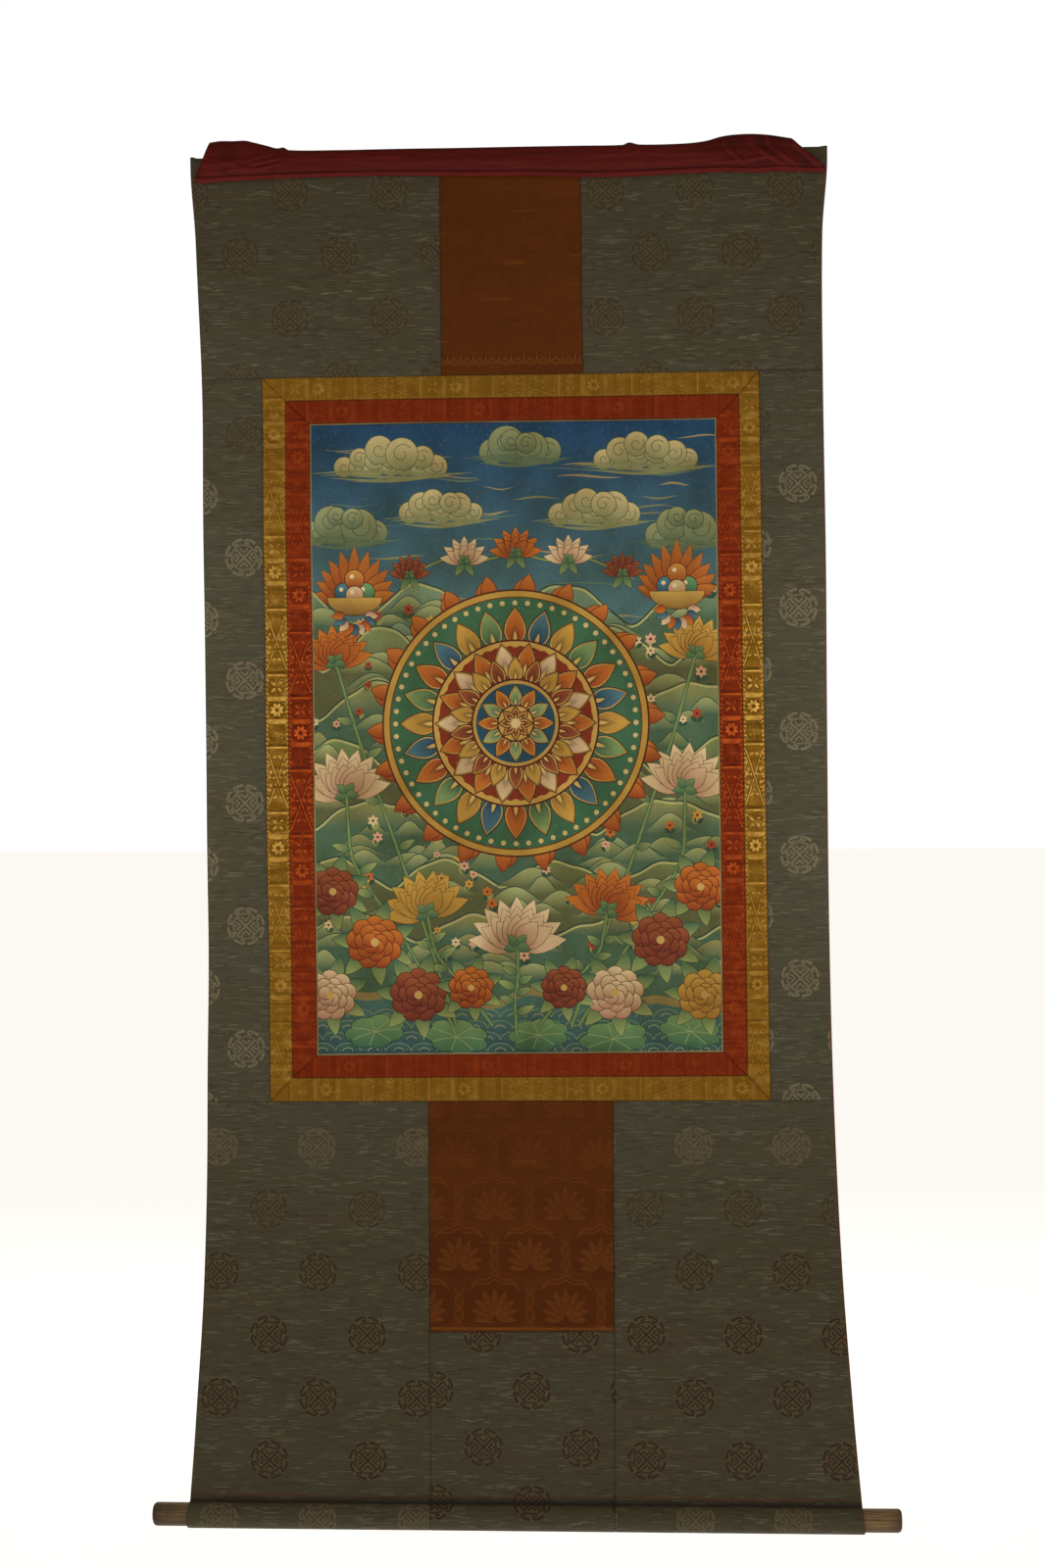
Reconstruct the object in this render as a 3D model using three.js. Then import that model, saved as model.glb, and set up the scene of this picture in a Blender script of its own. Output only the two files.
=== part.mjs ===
// Thangka scroll hanging. A painted canvas sits in mitred red and gold brocade borders, sewn into
// a pieced brocade mount. A silk cover is gathered over the top edge, and a wooden rod weights the
// foot in a sewn sleeve. Millimetres, +Z up, the painted face looks along -Y, and the origin is the
// middle of the top edge.
import * as THREE from "three";

// Cloth of the mount: thickness, the inset of each sewn edge, and the space inside a turned hem
const CLOTH_THICKNESS = 2;
const SEAM_INSET = 0.22;
const FOLD_GAP = 0.6;
const FOLD_PITCH = CLOTH_THICKNESS + FOLD_GAP;
const FACE_Y = -FOLD_PITCH / 2;
const TOP_HEM = 34;

// Rod and the sleeve of cloth sewn round it
const ROD_DIAMETER = 26;
const ROD_LEFT_END = -399;
const ROD_RIGHT_END = 423;
const ROD_END_ROUNDING = 5;
const ROD_AXIS_Z = -1499;
const SLEEVE_CLEARANCE = 0.5;
const SLEEVE_RADIUS = ROD_DIAMETER / 2 + SLEEVE_CLEARANCE + CLOTH_THICKNESS / 2;
const SLEEVE_STITCH_Z = -1483;
const SLEEVE_TAB = 17;

// Free side edges of the mount, waisted at the middle and flared towards the rod
const SIDE_EDGES = [
  { z: 0, left: -350, right: 350 },
  { z: -28, left: -349.3, right: 349.5 },
  { z: -95, left: -344.3, right: 344.2 },
  { z: -245, left: -339.5, right: 343.8 },
  { z: -480, left: -337.4, right: 346.2 },
  { z: -800, left: -334, right: 347.4 },
  { z: -1040, left: -336.2, right: 351.5 },
  { z: -1230, left: -341.5, right: 360 },
  { z: -1380, left: -350, right: 371 },
  { z: -1520, left: -361, right: 383.5 },
];

// Corners of the painting and of the two borders round it, each [x, z]
const GOLD_OUTSIDE = {
  topLeft: [-272, -245.5],
  topRight: [274.5, -245],
  bottomLeft: [-266, -1043],
  bottomRight: [283, -1041],
};
const RED_OUTSIDE = {
  topLeft: [-246.5, -271],
  topRight: [252.5, -270],
  bottomLeft: [-241.5, -1017],
  bottomRight: [258, -1014],
};
const CANVAS = {
  topLeft: [-219.5, -296.5],
  topRight: [228, -295.5],
  bottomLeft: [-214.5, -992.5],
  bottomRight: [232, -988.5],
};

// Damask panels let into the middle of the mount above and below the painting
const UPPER_PANEL = { left: [-74, -73.3], right: [80.5, 82.3] };
const LOWER_PANEL = { left: -91.5, right: 111.3, footLeft: -1296, footRight: -1294.3 };

// Slow waves that stay in cloth that is kept rolled up, and the curl of its free edges
const ROLL_WAVE = { height: 2.1, length: 310, phase: 0.6 };
const CROSS_WAVE = { height: 0.9, length: 205, slant: 0.45, phase: 2.1 };
const EDGE_CURL = { height: 5, length: 870, phase: 0.9, halfWidth: 350, power: 4 };
const HELD_FLAT = { top: -45, topFree: -170, foot: -1455, footFree: -1340 };

// Silk cover: layers folded back and forth in front, then over the top edge and down behind
const SILK_THICKNESS = 1;
const SILK_PITCH = 1.6;
const SILK_SEAT = 0.35;
const SILK_BACK_DROP = 46;
const SILK_TUCK_TOP = -8;
const SILK_TUCK_RISE = 4;
const SILK_CREST_START = -1.5;

// Slanted ends of the silk cover by height
const SILK_ENDS = [
  { z: -34, left: -346, right: 347.5 },
  { z: -25, left: -343, right: 346 },
  { z: -10, left: -337.2, right: 330 },
  { z: 2, left: -332.5, right: 316 },
  { z: 15, left: -327.5, right: 304 },
];

// Sections along the silk cover: place, crest over the top edge, lower edge, and forward swell
const SILK_SECTIONS = [
  { x: -338, crest: 14.5, foot: -30.5, swell: 0.6 },
  { x: -324, crest: 16.5, foot: -31, swell: 2.2 },
  { x: -306, crest: 16.5, foot: -30, swell: 3.4 },
  { x: -291, crest: 14.5, foot: -29.4, swell: 1.8 },
  { x: -272, crest: 9, foot: -28.6, swell: 3.2 },
  { x: -256, crest: 6.4, foot: -28, swell: 1.2 },
  { x: -249, crest: 6.8, foot: -27.8, swell: 2.4 },
  { x: -240, crest: 4.2, foot: -27.6, swell: 1 },
  { x: -185, crest: 4, foot: -26.6, swell: 0.8 },
  { x: -120, crest: 4.2, foot: -26.8, swell: 1.3 },
  { x: -50, crest: 4, foot: -28.6, swell: 0.9 },
  { x: 20, crest: 4.1, foot: -29.6, swell: 1.4 },
  { x: 85, crest: 4, foot: -32.4, swell: 1 },
  { x: 137, crest: 4, foot: -32, swell: 1.6 },
  { x: 146, crest: 6.6, foot: -31.6, swell: 2.2 },
  { x: 156, crest: 4, foot: -31, swell: 1.2 },
  { x: 205, crest: 4.2, foot: -29.4, swell: 1 },
  { x: 232, crest: 6.5, foot: -29.2, swell: 2.6 },
  { x: 256, crest: 11.5, foot: -30.4, swell: 1.6 },
  { x: 282, crest: 13.5, foot: -29.6, swell: 3.4 },
  { x: 306, crest: 12.5, foot: -30.6, swell: 2 },
  { x: 331, crest: 8, foot: -31.6, swell: 0.5 },
];

const finish = (color, roughness, metalness = 0) =>
  new THREE.MeshStandardMaterial({ color, roughness, metalness });
const PAINTED_CANVAS = finish(0x6a5c3d, 0.85);
const RED_BROCADE = finish(0x6b290e, 0.6, 0.1);
const GOLD_BROCADE = finish(0x775419, 0.5, 0.3);
const GREEN_BROCADE = finish(0x3e3829, 0.8);
const ORANGE_DAMASK = finish(0x4a250c, 0.65);
const RED_SILK = finish(0x46170f, 0.5);
const BROWN_WOOD = finish(0x614b32, 0.6);

const mix = (a, b, t) => a + (b - a) * t;

// Value of a table's column at a place along the table, smooth through its rows
function readTable(rows, key, column, at) {
  const rising = rows[rows.length - 1][key] > rows[0][key];
  let index = rows.findIndex((row, i) => i > 0 && (rising ? at <= row[key] : at >= row[key]));
  if (index < 0) {
    index = rows.length - 1;
  }
  const row = (i) => rows[THREE.MathUtils.clamp(i, 0, rows.length - 1)];
  const slope = (i) => (row(i + 1)[column] - row(i - 1)[column]) / (row(i + 1)[key] - row(i - 1)[key]);
  const [start, end] = [row(index - 1), row(index)];
  const span = end[key] - start[key];
  const t = THREE.MathUtils.clamp((at - start[key]) / span, 0, 1);
  const s = 1 - t;
  const ends = start[column] * s * s * (1 + 2 * t) + end[column] * t * t * (3 - 2 * t);
  return ends + span * s * t * (slope(index - 1) * s - slope(index) * t);
}

const leftEdge = (z) => readTable(SIDE_EDGES, "z", "left", z);
const rightEdge = (z) => readTable(SIDE_EDGES, "z", "right", z);

// How far the cloth stands behind its plane at a point of the hanging
function cloth(x, z) {
  const upper = 1 - THREE.MathUtils.smoothstep(z, HELD_FLAT.topFree, HELD_FLAT.top);
  const lower = THREE.MathUtils.smoothstep(z, HELD_FLAT.foot, HELD_FLAT.footFree);
  const turn = 2 * Math.PI;
  const roll = ROLL_WAVE.height * Math.sin((turn * z) / ROLL_WAVE.length + ROLL_WAVE.phase);
  const crossing = (z + CROSS_WAVE.slant * x) / CROSS_WAVE.length;
  const cross = CROSS_WAVE.height * Math.sin(turn * crossing + CROSS_WAVE.phase);
  const reach = Math.abs(x / EDGE_CURL.halfWidth) ** EDGE_CURL.power * Math.sign(x);
  const curl = EDGE_CURL.height * reach * Math.sin((turn * z) / EDGE_CURL.length + EDGE_CURL.phase);
  return upper * lower * (roll + cross + curl);
}

// A closed sheet swept along its section. path(u) gives the mid-line stations { y, z } of the
// section at share u of the width, and left(z) and right(z) are its side edges.
function sheet({ name, material, thickness, left, right, path, shares }) {
  const faces = [[], []];
  shares.forEach((u) => {
    const stations = path(u);
    stations.forEach(({ y, z }, i) => {
      const before = stations[Math.max(i - 1, 0)];
      const after = stations[Math.min(i + 1, stations.length - 1)];
      const along = new THREE.Vector2(after.y - before.y, after.z - before.z).normalize();
      const step = new THREE.Vector2(after.y - y, after.z - z);
      const bend = step.lengthSq() > 0 ? Math.max(step.normalize().dot(along), 0.8) : 1;
      const half = thickness / 2 / bend;
      const x = mix(left(z), right(z), u);
      const away = cloth(x, z);
      faces[0].push(x, y + along.y * half + away, z - along.x * half);
      faces[1].push(x, y - along.y * half + away, z + along.x * half);
    });
  });
  const rows = path(0).length;
  const columns = shares.length;
  const backFrom = rows * columns;
  const front = (row, column) => column * rows + row;
  const triangles = [];
  const quad = (a, b, c, d) => triangles.push(a, b, c, a, c, d);
  for (let column = 0; column < columns - 1; column += 1) {
    for (let row = 0; row < rows - 1; row += 1) {
      const corners = [
        front(row, column),
        front(row + 1, column),
        front(row + 1, column + 1),
        front(row, column + 1),
      ];
      quad(...corners);
      quad(...corners.map((corner) => corner + backFrom).reverse());
    }
  }
  const steps = (count) => Array.from({ length: count }, (_, i) => i);
  const rim = [
    ...steps(rows - 1).map((i) => front(i, 0)),
    ...steps(columns - 1).map((i) => front(rows - 1, i)),
    ...steps(rows - 1).map((i) => front(rows - 1 - i, columns - 1)),
    ...steps(columns - 1).map((i) => front(0, columns - 1 - i)),
  ];
  rim.forEach((corner, i) => {
    const next = rim[(i + 1) % rim.length];
    quad(next, corner, corner + backFrom, next + backFrom);
  });
  const geometry = new THREE.BufferGeometry();
  geometry.setAttribute("position", new THREE.Float32BufferAttribute([...faces[0], ...faces[1]], 3));
  geometry.setIndex(triangles);
  geometry.computeVertexNormals();
  const mesh = new THREE.Mesh(geometry, material);
  mesh.name = name;
  return mesh;
}

const evenShares = (steps) => Array.from({ length: steps + 1 }, (_, i) => i / steps);

// Straight edges as functions: x at a height, and z at a place across
const lineX = ([x0, z0], [x1, z1]) => (z) => mix(x0, x1, (z - z0) / (z1 - z0));
const lineZ = ([x0, z0], [x1, z1]) => (x) => mix(z0, z1, (x - x0) / (x1 - x0));

// Mid-line of a flat stretch of cloth between two heights
const flatRun = (top, bottom, rows) =>
  evenShares(rows).map((v) => ({ y: FACE_Y, z: mix(top, bottom, v) }));

// A flat piece with four straight sides, given by its corners
function flatPiece(name, material, corners, columns, rows) {
  const { topLeft, topRight, bottomLeft, bottomRight } = corners;
  const leftLine = lineX(topLeft, bottomLeft);
  const rightLine = lineX(topRight, bottomRight);
  return sheet({
    name,
    material,
    thickness: CLOTH_THICKNESS,
    left: (z) => leftLine(z) + SEAM_INSET,
    right: (z) => rightLine(z) - SEAM_INSET,
    path: (u) => flatRun(
      mix(topLeft[1], topRight[1], u) - SEAM_INSET,
      mix(bottomLeft[1], bottomRight[1], u) + SEAM_INSET,
      rows,
    ),
    shares: evenShares(columns),
  });
}

// Four mitred strips of a border between two rings of corners
function border(name, material, outside, inside) {
  const across = { columns: 12, rows: 1 };
  const upright = { columns: 1, rows: 22 };
  const strips = [
    { side: "top", size: across,
      corners: [outside.topLeft, outside.topRight, inside.topLeft, inside.topRight] },
    { side: "bottom", size: across,
      corners: [inside.bottomLeft, inside.bottomRight, outside.bottomLeft, outside.bottomRight] },
    { side: "left", size: upright,
      corners: [outside.topLeft, inside.topLeft, outside.bottomLeft, inside.bottomLeft] },
    { side: "right", size: upright,
      corners: [inside.topRight, outside.topRight, inside.bottomRight, outside.bottomRight] },
  ];
  return strips.map(({ side, size, corners }) => {
    const [topLeft, topRight, bottomLeft, bottomRight] = corners;
    const placed = { topLeft, topRight, bottomLeft, bottomRight };
    return flatPiece(`${name}_${side}`, material, placed, size.columns, size.rows);
  });
}

// Cross seams of the mount run on along the gold border's top and bottom
const upperSeam = lineZ(GOLD_OUTSIDE.topLeft, GOLD_OUTSIDE.topRight);
const lowerSeam = lineZ(GOLD_OUTSIDE.bottomLeft, GOLD_OUTSIDE.bottomRight);
const goldLeft = lineX(GOLD_OUTSIDE.topLeft, GOLD_OUTSIDE.bottomLeft);
const goldRight = lineX(GOLD_OUTSIDE.topRight, GOLD_OUTSIDE.bottomRight);
const panelFoot = lineZ(
  [LOWER_PANEL.left, LOWER_PANEL.footLeft],
  [LOWER_PANEL.right, LOWER_PANEL.footRight],
);
const upperPanelEdge = ([top, bottom]) => lineX([top, 0], [bottom, GOLD_OUTSIDE.topLeft[1]]);

// Top hem of the mount: up the back, over the fold and on to the face
function topHem() {
  const radius = FOLD_PITCH / 2;
  const centreZ = -radius - CLOTH_THICKNESS / 2;
  const backRun = evenShares(3).map((v) => ({ y: radius, z: mix(-TOP_HEM, centreZ, v) }));
  const fold = evenShares(6).slice(1).map((v) => ({
    y: radius * Math.cos(Math.PI * v),
    z: centreZ + radius * Math.sin(Math.PI * v),
  }));
  return [...backRun, ...fold];
}

// Rod sleeve: from the stitch line round the front, foot and back of the rod to a sewn tab
function rodSleeve() {
  const rise = SLEEVE_STITCH_Z - ROD_AXIS_Z;
  const reach = Math.hypot(FACE_Y, rise);
  const start = Math.atan2(-FACE_Y, rise) + Math.acos(SLEEVE_RADIUS / reach);
  const loop = evenShares(20).map((v) => {
    const angle = mix(start, 2 * Math.PI - start, v);
    return { y: -SLEEVE_RADIUS * Math.sin(angle), z: ROD_AXIS_Z + SLEEVE_RADIUS * Math.cos(angle) };
  });
  const tab = [0, 0.5, 1].map((v) => ({ y: -FACE_Y, z: SLEEVE_STITCH_Z + v * SLEEVE_TAB }));
  return [...loop, ...tab];
}

// A piece of the mount between two side edges, with a top hem or a rod sleeve where it has one
function mountPiece({ name, material, left, right, top, bottom, rows, columns, hemmed, sleeved }) {
  const path = (u) => {
    const topZ = top(u);
    const bottomZ = bottom(u);
    const run = flatRun(topZ, bottomZ, rows);
    if (hemmed) {
      return [...topHem(), ...run.slice(1)];
    }
    return sleeved ? [...run, ...rodSleeve()] : run;
  };
  return sheet({
    name,
    material,
    thickness: CLOTH_THICKNESS,
    left,
    right,
    path,
    shares: evenShares(columns),
  });
}

// Three pieces above the painting, hemmed together along the top
function upperMount() {
  const hemTop = -FOLD_PITCH / 2 - CLOTH_THICKNESS / 2;
  const panelLeft = upperPanelEdge(UPPER_PANEL.left);
  const panelRight = upperPanelEdge(UPPER_PANEL.right);
  const pieces = [
    { name: "upper_brocade_left", material: GREEN_BROCADE, columns: 7, left: leftEdge,
      right: (z) => panelLeft(z) - SEAM_INSET },
    { name: "upper_centre_panel", material: ORANGE_DAMASK, columns: 4,
      left: (z) => panelLeft(z) + SEAM_INSET, right: (z) => panelRight(z) - SEAM_INSET },
    { name: "upper_brocade_right", material: GREEN_BROCADE, columns: 7,
      left: (z) => panelRight(z) + SEAM_INSET, right: rightEdge },
  ];
  return pieces.map((piece) => {
    const seamZ = GOLD_OUTSIDE.topLeft[1];
    const seam = (u) => upperSeam(mix(piece.left(seamZ), piece.right(seamZ), u)) + SEAM_INSET;
    return mountPiece({ ...piece, top: () => hemTop, bottom: seam, rows: 8, hemmed: true });
  });
}

// Strips of the mount beside the painting
function sideMount() {
  const pieces = [
    { name: "side_brocade_left", left: leftEdge, right: (z) => goldLeft(z) - SEAM_INSET },
    { name: "side_brocade_right", left: (z) => goldRight(z) + SEAM_INSET, right: rightEdge },
  ];
  return pieces.map((piece) => {
    const across = (z, u) => mix(piece.left(z), piece.right(z), u);
    const top = (u) => upperSeam(across(GOLD_OUTSIDE.topLeft[1], u)) - SEAM_INSET;
    const bottom = (u) => lowerSeam(across(GOLD_OUTSIDE.bottomLeft[1], u)) + SEAM_INSET;
    return mountPiece({ ...piece, material: GREEN_BROCADE, top, bottom, rows: 23, columns: 2 });
  });
}

// Pieces below the painting: a damask panel, and brocade that runs on round the rod
function lowerMount() {
  const inLeft = () => LOWER_PANEL.left + SEAM_INSET;
  const inRight = () => LOWER_PANEL.right - SEAM_INSET;
  const panelAcross = (u) => mix(inLeft(), inRight(), u);
  const seamFrom = (left, right) => (u) => {
    const seamZ = GOLD_OUTSIDE.bottomLeft[1];
    return lowerSeam(mix(left(seamZ), right(seamZ), u)) - SEAM_INSET;
  };
  const outLeft = () => LOWER_PANEL.left - SEAM_INSET;
  const outRight = () => LOWER_PANEL.right + SEAM_INSET;
  const stitch = () => SLEEVE_STITCH_Z;
  const pieces = [
    { name: "lower_brocade_left", material: GREEN_BROCADE, left: leftEdge, right: outLeft,
      top: seamFrom(leftEdge, outLeft), bottom: stitch, rows: 13, columns: 7, sleeved: true },
    { name: "lower_centre_panel", material: ORANGE_DAMASK, left: inLeft, right: inRight,
      top: seamFrom(inLeft, inRight), bottom: (u) => panelFoot(panelAcross(u)) + SEAM_INSET,
      rows: 8, columns: 5 },
    { name: "lower_centre_brocade", material: GREEN_BROCADE, left: inLeft, right: inRight,
      top: (u) => panelFoot(panelAcross(u)) - SEAM_INSET, bottom: stitch, rows: 6, columns: 5,
      sleeved: true },
    { name: "lower_brocade_right", material: GREEN_BROCADE, left: outRight, right: rightEdge,
      top: seamFrom(outRight, rightEdge), bottom: stitch, rows: 13, columns: 7, sleeved: true },
  ];
  return pieces.map(mountPiece);
}

// Section of the silk cover: up behind the hem, over the crest, then down and up in folds in front
function silkSection({ crest, foot, swell }) {
  const hemFace = FOLD_PITCH / 2 + CLOTH_THICKNESS / 2;
  const backY = hemFace + SILK_SEAT + SILK_THICKNESS / 2;
  const layerY = (layer) => -hemFace - SILK_SEAT - SILK_THICKNESS / 2 - layer * SILK_PITCH;
  const outerY = layerY(3);
  const backRun = evenShares(4).map((v) => ({ y: backY, z: mix(-SILK_BACK_DROP, SILK_CREST_START, v) }));
  const crestRise = crest - SILK_THICKNESS / 2 - SILK_CREST_START;
  const over = evenShares(9).slice(1).map((v) => ({
    y: mix(backY, outerY, (1 - Math.cos(Math.PI * v)) / 2),
    z: SILK_CREST_START + crestRise * Math.sin(Math.PI * v),
  }));
  const run = (layer, from, to, out) => evenShares(4).slice(1).map((v) => ({
    y: layerY(layer) - out * Math.sin(Math.PI * v),
    z: mix(from, to, v),
  }));
  const radius = SILK_PITCH / 2;
  const turn = (layer, z, way) => evenShares(4).slice(1).map((v) => ({
    y: layerY(layer - 0.5) - radius * Math.cos(Math.PI * v),
    z: z + way * radius * Math.sin(Math.PI * v),
  }));
  const low = foot + SILK_THICKNESS / 2 + radius;
  const tuckLow = low + SILK_TUCK_RISE;
  return [
    ...backRun,
    ...over,
    ...run(3, SILK_CREST_START, low, swell),
    ...turn(3, low, -1),
    ...run(2, low, SILK_TUCK_TOP, 0),
    ...turn(2, SILK_TUCK_TOP, 1),
    ...run(1, SILK_TUCK_TOP, tuckLow, 0),
    ...turn(1, tuckLow, -1),
    ...run(0, tuckLow, SILK_TUCK_TOP, 0),
  ];
}

function silkCover() {
  const first = SILK_SECTIONS[0].x;
  const last = SILK_SECTIONS[SILK_SECTIONS.length - 1].x;
  const shares = SILK_SECTIONS.map(({ x }) => (x - first) / (last - first));
  return sheet({
    name: "silk_cover",
    material: RED_SILK,
    thickness: SILK_THICKNESS,
    left: (z) => readTable(SILK_ENDS, "z", "left", z),
    right: (z) => readTable(SILK_ENDS, "z", "right", z),
    path: (u) => silkSection(SILK_SECTIONS[shares.indexOf(u)]),
    shares,
  });
}

// Turned rod with flat, rounded-over ends
function rod() {
  const radius = ROD_DIAMETER / 2;
  const length = ROD_RIGHT_END - ROD_LEFT_END;
  const flat = radius - ROD_END_ROUNDING;
  const corner = evenShares(3).map((v) => ({
    out: flat + ROD_END_ROUNDING * Math.sin((Math.PI / 2) * v),
    in: ROD_END_ROUNDING * (1 - Math.cos((Math.PI / 2) * v)),
  }));
  const profile = [
    new THREE.Vector2(0, 0),
    ...corner.map((point) => new THREE.Vector2(point.out, point.in)),
    ...corner.reverse().map((point) => new THREE.Vector2(point.out, length - point.in)),
    new THREE.Vector2(0, length),
  ];
  const mesh = new THREE.Mesh(new THREE.LatheGeometry(profile, 32), BROWN_WOOD);
  mesh.name = "rod";
  mesh.rotation.z = -Math.PI / 2;
  mesh.position.set(ROD_LEFT_END, 0, ROD_AXIS_Z);
  return mesh;
}

const hanging = new THREE.Group();
hanging.add(
  flatPiece("painting", PAINTED_CANVAS, CANVAS, 8, 20),
  ...border("red_border", RED_BROCADE, RED_OUTSIDE, CANVAS),
  ...border("gold_border", GOLD_BROCADE, GOLD_OUTSIDE, RED_OUTSIDE),
  ...upperMount(),
  ...sideMount(),
  ...lowerMount(),
  rod(),
  silkCover(),
);

export default hanging;
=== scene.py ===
import math

import bpy
import numpy as np
from mathutils import Matrix, Vector
from mathutils.geometry import delaunay_2d_cdt


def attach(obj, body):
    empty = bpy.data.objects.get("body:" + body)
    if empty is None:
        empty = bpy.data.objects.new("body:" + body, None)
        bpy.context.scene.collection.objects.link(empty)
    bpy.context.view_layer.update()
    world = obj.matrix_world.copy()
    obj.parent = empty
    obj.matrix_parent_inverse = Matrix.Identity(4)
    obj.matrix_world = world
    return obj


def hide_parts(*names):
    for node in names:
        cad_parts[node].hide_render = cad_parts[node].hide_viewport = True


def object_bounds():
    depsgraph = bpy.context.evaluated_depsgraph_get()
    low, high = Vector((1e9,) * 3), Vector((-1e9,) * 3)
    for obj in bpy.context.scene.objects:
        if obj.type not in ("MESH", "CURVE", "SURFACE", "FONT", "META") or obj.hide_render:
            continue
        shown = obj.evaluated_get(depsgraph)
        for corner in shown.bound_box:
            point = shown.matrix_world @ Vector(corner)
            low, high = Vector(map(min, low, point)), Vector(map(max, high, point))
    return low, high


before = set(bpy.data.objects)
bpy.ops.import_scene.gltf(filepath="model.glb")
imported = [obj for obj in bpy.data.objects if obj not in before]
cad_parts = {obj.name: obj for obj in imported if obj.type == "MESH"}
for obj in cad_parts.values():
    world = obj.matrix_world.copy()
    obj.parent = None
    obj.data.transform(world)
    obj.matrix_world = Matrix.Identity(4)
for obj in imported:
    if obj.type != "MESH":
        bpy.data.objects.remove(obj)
cad_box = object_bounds()

# Studio. The scroll hangs clear of a pale floor in soft light, with a soft lamp close to each side
# that rakes across the cloth at half its height, a large one in front and another behind.
VIEW_DISTANCE = 3.2
VIEW_YAW = math.radians(3.46)
VIEW_ROLL = math.radians(-0.307)
VIEW_TARGET = Vector((0.01365, 0.0, -0.69467))
PHOTO_HEIGHT_PIXELS = 1600
METRES_PER_PIXEL = 0.001075
SENSOR_HEIGHT = 36.0
FLOOR_DROP = 0.16
FLOOR_REACH = 40


def linear(colour):
    """Linear RGBA of an sRGB hex colour."""
    channels = [int(colour[i:i + 2], 16) / 255 for i in (1, 3, 5)]
    return [c / 12.92 if c <= 0.04045 else ((c + 0.055) / 1.055) ** 2.4 for c in channels] + [1.0]


def node(tree, kind, inputs=None, **settings):
    """Adds a node with its settings. Each input takes a value or another node's output."""
    made = tree.nodes.new(kind)
    for name, value in settings.items():
        setattr(made, name, value)
    for name, value in (inputs or {}).items():
        if isinstance(value, bpy.types.NodeSocket):
            tree.links.new(value, made.inputs[name])
        else:
            made.inputs[name].default_value = value
    return made


ahead = Vector((-math.sin(VIEW_YAW), math.cos(VIEW_YAW), 0))
level = Vector((math.cos(VIEW_YAW), math.sin(VIEW_YAW), 0))
upright = Vector((0, 0, 1))
across = level * math.cos(VIEW_ROLL) + upright * math.sin(VIEW_ROLL)
above = upright * math.cos(VIEW_ROLL) - level * math.sin(VIEW_ROLL)
lens = bpy.data.cameras.new("camera")
lens.sensor_fit = "VERTICAL"
lens.sensor_height = SENSOR_HEIGHT
lens.lens = VIEW_DISTANCE / METRES_PER_PIXEL * SENSOR_HEIGHT / PHOTO_HEIGHT_PIXELS
camera = bpy.data.objects.new("camera", lens)
turn = Matrix((across, above, -ahead)).transposed().to_4x4()
camera.matrix_world = Matrix.Translation(VIEW_TARGET - ahead * VIEW_DISTANCE) @ turn
bpy.context.collection.objects.link(camera)
bpy.context.scene.camera = camera
bpy.context.scene.view_settings.view_transform = "Standard"

world = bpy.data.worlds.new("pale_studio")
world.use_nodes = True
sky = world.node_tree
sky.nodes.clear()
backdrop = node(sky, "ShaderNodeBackground", {"Color": linear("#ffffff"), "Strength": 1.0})
ambient = node(sky, "ShaderNodeBackground", {"Color": linear("#fbf6ee"), "Strength": 0.35})
seen = node(sky, "ShaderNodeLightPath")
both = node(sky, "ShaderNodeMixShader", {
    0: seen.outputs["Is Camera Ray"], 1: ambient.outputs[0], 2: backdrop.outputs[0]})
node(sky, "ShaderNodeOutputWorld", {"Surface": both.outputs[0]})
bpy.context.scene.world = world

for name, place, size, power in (
    ("lamp_left", (-0.7, -0.3, -0.62), (0.3, 0.25), 2.0),
    ("lamp_right", (0.72, -0.3, -0.64), (0.3, 0.25), 2.3),
    ("lamp_front", (0.3, -3.4, 0.3), (2.4, 1.6), 16.0),
    ("lamp_back", (-0.4, 2.8, 0.5), (2.4, 1.6), 16.0),
):
    lamp = bpy.data.lights.new(name, "AREA")
    lamp.shape = "RECTANGLE"
    lamp.size, lamp.size_y = size
    lamp.energy = power
    lamp.color = linear("#fff4e4")[:3]
    light = bpy.data.objects.new(name, lamp)
    light.location = place
    aim = Vector((0, 0, -0.7)) - Vector(place)
    light.rotation_euler = aim.to_track_quat("-Z", "Y").to_euler()
    light.visible_camera = False
    bpy.context.collection.objects.link(light)

floor_mesh = bpy.data.meshes.new("floor")
floor_z = cad_box[0][2] - FLOOR_DROP
floor_mesh.from_pydata(
    [(x * FLOOR_REACH, y * FLOOR_REACH, floor_z) for x, y in ((-1, -1), (1, -1), (1, 1), (-1, 1))],
    [], [(0, 1, 2, 3)]
)
floor = bpy.data.objects.new("floor", floor_mesh)
paper = bpy.data.materials.new("pale_studio_paper")
paper.use_nodes = True
paper_inputs = paper.node_tree.nodes["Principled BSDF"].inputs
paper_inputs["Base Color"].default_value = linear("#faf8f5")
paper_inputs["Roughness"].default_value = 0.95
paper_inputs["Emission Color"].default_value = linear("#fffdf8")
paper_inputs["Emission Strength"].default_value = 0.66
floor_mesh.materials.append(paper)
bpy.context.collection.objects.link(floor)

# Painted canvas. The picture is a cotton canvas, sized and painted in mineral colours, and sewn into
# its borders. Every cloth of the scroll is drawn here as it was cut, flat, x across and w along its
# length in mm, and is then hung: w is the height on the face, and goes on round the hem and sleeve.
MM = 0.001
HEM_RADIUS = 1.3
HEM_FOLD_Z = -2.3
TOP_HEM = 34.0
ROD_AXIS_Z = -1499.0
SLEEVE_RADIUS = 14.5
SLEEVE_STITCH_Z = -1483.0
SLEEVE_TAB = 17.0
CLOTH_HALF = 0.6
SEAM_WIDTH = 2.0
SEAM_DEPTH = 0.35
CANVAS = {"top_left": (-219.5, -296.5), "top_right": (228.0, -295.5),
          "bottom_left": (-214.5, -992.5), "bottom_right": (232.0, -988.5)}


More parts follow.
